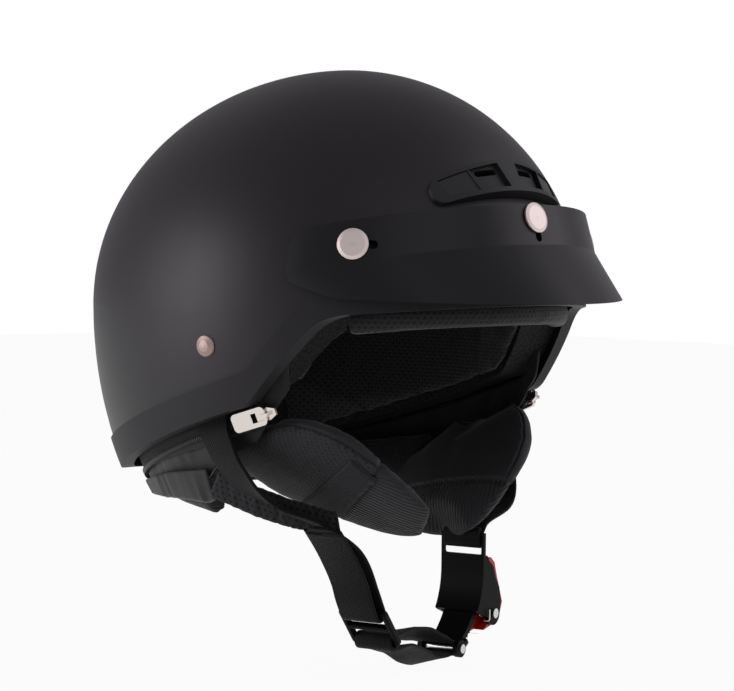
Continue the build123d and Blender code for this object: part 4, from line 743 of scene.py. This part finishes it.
# An elastic band crosses the outer face of each ear pad near its tip, sewn in at both sides.
# It is knitted with fine ribs along its length.
band_first, band_share = 0.63, 0.18
band_steps, band_rows = 24, 8
band_wall, band_gap, band_lift, band_reach = 0.0009, 0.0006, 0.004, 0.98
elastic = woven_finish("elastic_band", (0.013, 0.013, 0.014), (0.005, 0.005, 0.005), 0.72, 0.0014, 0.0002)
for side in ("left", "right"):
    columns = []
    for number in range(band_steps + 1):
        column = []
        for step in range(band_rows + 1):
            middle, across, out, half, wall = ear_station(side, band_first + band_share * step / band_rows)
            place = (number / (band_steps / 2) - 1) * half * band_reach
            column.append(middle + across * place + out * (wall / 2 + band_lift))
        columns.append(column)
    work = bmesh.new()
    grid_faces(work, columns, lambda a, b: (a * 0.0021, b * 0.0017))
    bmesh.ops.recalc_face_normals(work, faces=work.faces)
    band = piece_from(work, "ear_band_" + side + "_elastic")
    shape_by(band, "SHRINKWRAP", target=bpy.data.objects["ear_pad_" + side + "_cloth"],
             wrap_method="NEAREST_SURFACEPOINT", wrap_mode="OUTSIDE_SURFACE", offset=band_gap)
    shape_by(band, "SOLIDIFY", thickness=band_wall, offset=0)
    band.data.materials.append(elastic)
    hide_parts("ear_band_" + side)
    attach(band, "helmet")

# The chin strap is black nylon webbing, woven 22 mm wide with a rolled selvedge. Each side
# is riveted to the shell at its end plate and runs down over the ear pad.
webbing_width = 0.022
webbing_wall = 0.0018
liner_face, anchor_wall, sag_room = 0.0038, 0.002, 0.0008
strap_depth = liner_face + anchor_wall + sag_room + webbing_wall / 2
strap_turn = radians(12)
strap_across = Vector((cos(strap_turn), sin(strap_turn), 0))
strap_ahead = Vector((sin(strap_turn), -cos(strap_turn), 0))
strap_root = Vector((0, -0.044, 0))
up_way = Vector((0, 0, 1))
anchor_rows = ((0.120, 0.126), (0.088, 0.225), (0.068, 0.303))
right_rows = (((-0.874, 0.100, 0.366), (0.15, 0.95, -0.25)), ((-0.852, 0.180, 0.447), (0.30, 0.93, -0.20)),
              ((-0.767, 0.316, 0.531), (0.62, 0.78, -0.05)), ((-0.615, 0.414, 0.590), (0.20, 0.97, 0.00)))
right_lock_rows = ((1.357, 0.804), (1.060, 0.924))
tail_rows = ((1.202, 0.9535), (1.286, 0.904), (1.571, 0.797), (1.929, 0.694))
lock_across, lock_drop = 0.042, 0.1505
lock_bar, loop_gap = 0.0038, 0.00015
lock_bore = sqrt(2 * lock_bar**2) / 2 + loop_gap
loop_middle = lock_bore + webbing_wall / 2
run_steps = 10


def strap_spot(across, drop):
    """Point in the plane of the chin strap."""
    return strap_root + strap_across * across - up_way * drop


lock_top = strap_spot(-lock_across, lock_drop)
lock_bottom = strap_spot(-0.0285, 0.1665)


def anchor_stations(side):
    """Stations of a strap's upper run, which lies on the shell below its anchor."""
    stations = []
    for forward, down in anchor_rows:
        y, z = -front_reach * forward, -skirt_depth * down
        across = 1 - (y / (front_reach - strap_depth)) ** 2 - (z / (skirt_depth - strap_depth)) ** 2
        spot = Vector((side * (half_width - strap_depth) * sqrt(across), y, z))
        out = dome_way_out(spot)
        stations.append((spot, Vector((-side * out.y, side * out.x, 0)), webbing_width))
    return stations


def side_stations(rows):
    """Stations from shares of the shell's sizes and ways across."""
    return [(share_spot(shares), Vector(across), webbing_width) for shares, across in rows]


def lock_stations(rows):
    """Stations in the strap's plane, from shares of the lock's place."""
    return [(strap_spot(-lock_across * across, lock_drop * down), -strap_ahead, webbing_width)
            for across, down in rows]


def spline_stations(stations, steps):
    """Stations on the smooth line through the given ones, by chord length."""
    spots = [row[0] for row in stations]
    knots = [0.0]
    for first, second in zip(spots, spots[1:]):
        knots.append(knots[-1] + (second - first).length ** 0.75)
    chords = [(b - a) / (t - s) for a, b, s, t in zip(spots, spots[1:], knots, knots[1:])]
    slopes = chords[:1]
    for n in range(1, len(spots) - 1):
        share = (knots[n] - knots[n - 1]) / (knots[n + 1] - knots[n - 1])
        slopes.append(chords[n - 1] * (1 - share) + chords[n] * share)
    slopes.append(chords[-1])
    smooth = []
    for n in range(len(spots) - 1):
        span = knots[n + 1] - knots[n]
        for step in range(steps):
            t = step / steps
            spot = (spots[n] * (2 * t**3 - 3 * t**2 + 1) + slopes[n] * span * (t**3 - 2 * t**2 + t)
                    + spots[n + 1] * (3 * t**2 - 2 * t**3) + slopes[n + 1] * span * (t**3 - t**2))
            ease = ease_in(t, 0.0, 1.0)
            here, there = stations[n][1].normalized(), stations[n + 1][1].normalized()
            across = (here * (1 - ease) + there * ease).normalized()
            smooth.append((spot, across, stations[n][2] * (1 - t) + stations[n + 1][2] * t))
    smooth.append(stations[-1])
    return smooth


def bar_arc(middle, radius, first, last, steps, width):
    """Stations of webbing round a bar, from one turn to another."""
    stations = []
    for step in range(steps + 1):
        turn = radians(first + (last - first) * step / steps)
        spot = middle + strap_across * (radius * cos(turn)) + up_way * (radius * sin(turn))
        stations.append((spot, -strap_ahead, width))
    return stations


def lay_webbing(name, stations, thickness, closed=False):
    """Flat woven strap along stations, with rounded selvedges and its UV in metres."""
    half = thickness / 2
    profile = ((-1, 0, 0), (-1, 0.35, 0.8), (-1, 0.9, 1), (0, 0, 1), (1, 0.9, 1), (1, 0.35, 0.8), (1, 0, 0),
               (1, 0.35, -0.8), (1, 0.9, -1), (0, 0, -1), (-1, 0.9, -1), (-1, 0.35, -0.8))
    work = bmesh.new()
    layer = work.loops.layers.uv.new("pattern")
    rings, gone, runs = [], 0.0, []
    count = len(stations)
    for n, (spot, across, width) in enumerate(stations):
        if closed:
            ahead = stations[(n + 1) % count][0] - stations[n - 1][0]
        else:
            ahead = stations[min(n + 1, count - 1)][0] - stations[max(n - 1, 0)][0]
        side_way = (across - ahead * (across.dot(ahead) / ahead.dot(ahead))).normalized()
        out = ahead.normalized().cross(side_way)
        if n:
            gone += (spot - stations[n - 1][0]).length
        runs.append(gone)
        rings.append([work.verts.new(spot + side_way * (sign * (width / 2 - inward * half)) + out * (rise * half))
                      for sign, inward, rise in profile])
    sides = len(profile)
    across_spots = [sign * (0.5 - inward * half / webbing_width) * webbing_width for sign, inward, rise in profile]
    runs.append(gone + (stations[0][0] - stations[-1][0]).length)
    for n in range(count if closed else count - 1):
        for k in range(sides):
            corners = ((n, k), (n, k + 1), (n + 1, k + 1), (n + 1, k))
            face = work.faces.new([rings[a % count][b % sides] for a, b in corners])
            face.smooth = True
            for loop, (a, b) in zip(face.loops, corners):
                loop[layer].uv = (across_spots[b % sides], runs[a])
    if not closed:
        work.faces.new(rings[0])
        work.faces.new(list(reversed(rings[-1])))
    bmesh.ops.recalc_face_normals(work, faces=work.faces)
    return piece_from(work, name), runs[-1] if closed else gone


webbing, tree, shader = new_finish("webbing", (0.008, 0.0075, 0.008), 0.65, 0.08)
where = add_node(tree, "UVMap", uv_map="pattern").outputs[0]
ways = add_node(tree, "SeparateXYZ", {0: where}).outputs
zigzag = maths("ABSOLUTE", maths("SUBTRACT", maths("FRACT", times(ways[0], 330.0)), 0.5))
rib = maths("SINE", times(maths("MULTIPLY_ADD", zigzag, 0.0016, ways[1]), 2 * pi / 0.0011))
cords = maths("SINE", times(ways[0], 2 * pi / 0.0015))
height = maths("MULTIPLY_ADD", rib, 0.35, times(cords, 0.3))
fuzz = speckle(where, 260.0, 3.0)
# The colour follows the weave's relief: painted highlight on the raised ribs and cords, painted shade between
# them, mixed with random tone from the fuzz
tone = maths("MULTIPLY_ADD", height, 0.6, fuzz)
feed(shader, {"Base Color": blend_colours(tone, (0.0028, 0.0025, 0.0028, 1), (0.0095, 0.0088, 0.0095, 1)),
              "Roughness": maths("MULTIPLY_ADD", fuzz, 0.2, 0.48), "Sheen Weight": 0.03})
raise_bump(shader, height, 0.00022)

right_stations = anchor_stations(-1) + side_stations(right_rows) + lock_stations(right_lock_rows)
round_lock = bar_arc(lock_top, loop_middle, 18, -148, 14, webbing_width)
tail_stations = [round_lock[-1]] + lock_stations(tail_rows)
right_path = spline_stations(right_stations + [round_lock[0]], run_steps)[:-1] + round_lock[:-1]
right_path += spline_stations(tail_stations, run_steps)
tail_corner, corner_steps = 0.007, 8
tail_way = (right_path[-1][0] - right_path[-2][0]).normalized()
tail_end, tail_across, _ = right_path.pop()
for step in range(corner_steps + 1):
    turn = radians(90 * step / corner_steps)
    spot = tail_end - tail_way * tail_corner * (1 - sin(turn))
    right_path.append((spot, tail_across, webbing_width - 2 * tail_corner * (1 - cos(turn))))
strap_right, right_length = lay_webbing("strap_right_webbing", right_path, webbing_wall)
strap_right.data.materials.append(webbing)
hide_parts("strap_right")
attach(strap_right, "helmet")

left_rows = (((0.868, 0.092, 0.390), (-0.12, 0.95, -0.22)), ((0.821, 0.159, 0.506), (-0.20, 0.95, -0.15)),
             ((0.709, 0.239, 0.596), (-0.25, 0.95, 0.00)))
arc_across, arc_drop, arc_radius, pin_radius = 0.0164, 0.1391, 0.04115, 0.0434
bar_across, bar_drop, bar_side, bar_half = 0.05755, 0.12205, 0.0023, 0.00245
left_stations = anchor_stations(1) + side_stations(left_rows)
left_stations.append((strap_spot(arc_across + arc_radius * 1.150, arc_drop - arc_radius * 0.575),
                      -strap_ahead, webbing_width))
bar_start = strap_spot(bar_across + bar_side, bar_drop - bar_half)
left_path = spline_stations(left_stations + [(bar_start, -strap_ahead, webbing_width)], run_steps)
left_path += bar_arc(strap_spot(bar_across, bar_drop + bar_half), bar_side, 0, -180, 10, webbing_width)
left_path += bar_arc(strap_spot(bar_across, bar_drop - bar_half), bar_side, 180, 100, 6, webbing_width)
strap_left, left_length = lay_webbing("strap_left_webbing", left_path, webbing_wall)
strap_left.data.materials.append(webbing)
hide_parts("strap_left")
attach(strap_left, "helmet")

# The lower webbing is a loop of two layers between the lock and the buckle's tongue. It
# narrows from 22 to 18 mm where it goes round the tongue's pin.
end_width = 0.018
end_turn = radians(63.8)
end_pin_spot = strap_spot(arc_across + pin_radius * cos(end_turn), arc_drop + pin_radius * sin(end_turn))
end_bore = 0.0023
end_radius = end_bore + webbing_wall / 2
chin_span = end_pin_spot - lock_bottom
upper_rows = ((0.35, 0.092, 0.25), (0.60, 0.083, 0.40), (0.82, 0.061, 0.20))
lower_rows = ((0.929, -0.066, 0.10), (0.757, -0.120, 0.30), (0.57, -0.098, 0.40), (0.32, -0.043, 0.25))
chin_steps = 12


def chin_stations(rows):
    """Stations of one layer between the lock and the pin."""
    stations = []
    for along, up, tilt in rows:
        spot = lock_bottom + chin_span * along + up_way * (chin_span.length * up)
        width = webbing_width + (end_width - webbing_width) * along
        stations.append((spot, (-strap_ahead - up_way * tilt).normalized(), width))
    return stations


lock_arc = bar_arc(lock_bottom, loop_middle, -80, -290, 16, webbing_width)
pin_arc = bar_arc(end_pin_spot, end_radius, 110, -105, 16, end_width)
chin_path = spline_stations([lock_arc[-1]] + chin_stations(upper_rows) + [pin_arc[0]], chin_steps)[:-1]
chin_path += pin_arc[:-1]
chin_path += spline_stations([pin_arc[-1]] + chin_stations(lower_rows) + [lock_arc[0]], chin_steps)[:-1]
chin_path += lock_arc[:-1]
chin_webbing, chin_length = lay_webbing("chin_loop_webbing", chin_path, webbing_wall, closed=True)
chin_webbing.data.materials.append(webbing)
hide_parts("chin_webbing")
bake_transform(chin_webbing)

# The lock, the buckle and its toothed tongue are injection-moulded in tough black plastic,
# and the lever in red. Steel pins join them, and a wire spring closes the lever's pawl.
grip_top, grip_bottom, grip_pitch = -0.142, -0.158, 0.0022
dress(moulded_finish(
    "hard_black", (0.0035, 0.0033, 0.0037), (0.02, 0.02, 0.02), 0.4, 0.12, 1300.0, 0.00003,
    specular=0.05, scuffs=0.5),
    "ladder_lock", "buckle_body", "ratchet_tongue")
lever_red = moulded_finish("lever_red", (0.50, 0.018, 0.016), (0.62, 0.10, 0.08),
                           0.34, 0.1, 1300.0, 0.00002, specular=0.42, scuffs=0.4)
where = add_node(lever_red.node_tree, "TexCoord").outputs["Object"]
level = add_node(lever_red.node_tree, "SeparateXYZ", {0: where}).outputs[2]
grip_rows = times(maths("GREATER_THAN", level, grip_bottom), maths("LESS_THAN", level, grip_top))
grip_wave = maths("SINE", times(level, 2 * pi / grip_pitch))
raise_bump(lever_red.node_tree.nodes["Principled BSDF"], times(grip_wave, grip_rows), 0.0004)
dress(plated_finish(
    "pin_steel", (0.62, 0.61, 0.59), (0.4, 0.39, 0.38), 0.25, 0.12, 900.0, 0.00001),
    "lever_pin", "end_pin")
dress(plated_finish(
    "spring_wire", (0.55, 0.54, 0.52), (0.35, 0.34, 0.33), 0.28, 0.1, 1500.0, 0.00001, 0.3),
    "lever_spring")
dress(lever_red, "buckle_lever")

# The studio is a pale floor and backdrop, white to the camera, under soft even light.
# The camera stands at the wearer's right front, a little above the strap's level.
floor_level = -0.1875
floor_shine = 0.94
floor_white = bpy.data.materials.new("studio_white")
floor_white.use_nodes = True
studio = floor_white.node_tree
studio.nodes.clear()
ray = add_node(studio, "LightPath")
seen = maths("MAXIMUM", ray.outputs["Is Camera Ray"], ray.outputs["Is Glossy Ray"])
seen = maths("MAXIMUM", seen, ray.outputs["Is Transmission Ray"])
matt = add_node(studio, "BsdfDiffuse", {"Color": (0.8, 0.8, 0.8, 1)})
shine = add_node(studio, "Emission", {"Color": (1, 1, 1, 1), "Strength": 1.0})
mixed = add_node(studio, "MixShader", {0: times(seen, floor_shine), 1: matt.outputs[0], 2: shine.outputs[0]})
add_node(studio, "OutputMaterial", {"Surface": mixed.outputs[0]})
bpy.ops.mesh.primitive_plane_add(size=6, location=(0, 0, floor_level))
floor = bpy.context.object
floor.name = "studio_floor"
floor.data.materials.append(floor_white)

world = bpy.data.worlds.new("studio")
scene.world = world
world.use_nodes = True
sky = world.node_tree
sky.nodes.clear()
ray = add_node(sky, "LightPath")
seen = maths("MAXIMUM", ray.outputs["Is Camera Ray"], ray.outputs["Is Transmission Ray"])
dim = add_node(sky, "Background", {"Color": (0.97, 0.93, 1.0, 1), "Strength": 0.42})
bright = add_node(sky, "Background", {"Color": (1, 1, 1, 1), "Strength": 1.0})
mixed = add_node(sky, "MixShader", {0: seen, 1: dim.outputs[0], 2: bright.outputs[0]})
add_node(sky, "OutputWorld", {"Surface": mixed.outputs[0]})


def hang_lamp(name, spot, size, power):
    """Soft square lamp that faces the helmet's middle."""
    lamp = bpy.data.lights.new(name, "AREA")
    lamp.shape = "SQUARE"
    lamp.size = size
    lamp.energy = power
    lamp.color = (1.0, 0.95, 1.0)
    holder = place_object(name, lamp)
    holder.location = spot
    holder.rotation_euler = (-Vector(spot)).to_track_quat("-Z", "Y").to_euler()


# Left and right in the lamps' names are as the camera sees them
hang_lamp("lamp_front", (-0.5, -1.6, 1.0), 1.6, 4)
hang_lamp("lamp_right_side", (1.2, -1.0, 0.7), 1.3, 7.5)
hang_lamp("lamp_left_side", (-1.4, 1.0, 0.2), 1.1, 16)

side_turn, tilt, roll = radians(-45.8), radians(2.854), radians(0.543)
eye_distance, eye_right, eye_drop = 1.387, 0.00975, 0.02041
picture_width, focal_pixels, sensor_width = 734, 2660, 36
back = Vector((sin(side_turn) * cos(tilt), -cos(side_turn) * cos(tilt), sin(tilt)))
level_right = Vector((cos(side_turn), sin(side_turn), 0))
level_up = back.cross(level_right)
right = level_right * cos(roll) + level_up * sin(roll)
up = level_up * cos(roll) - level_right * sin(roll)
camera_data = bpy.data.cameras.new("camera")
camera_data.sensor_width = sensor_width
camera_data.lens = focal_pixels / picture_width * sensor_width
camera = place_object("camera", camera_data)
eye = back * eye_distance + right * eye_right - up * eye_drop
camera.matrix_world = Matrix.Translation(eye) @ Matrix((right, up, back)).transposed().to_4x4()
scene.camera = camera
scene.view_settings.view_transform = "Standard"
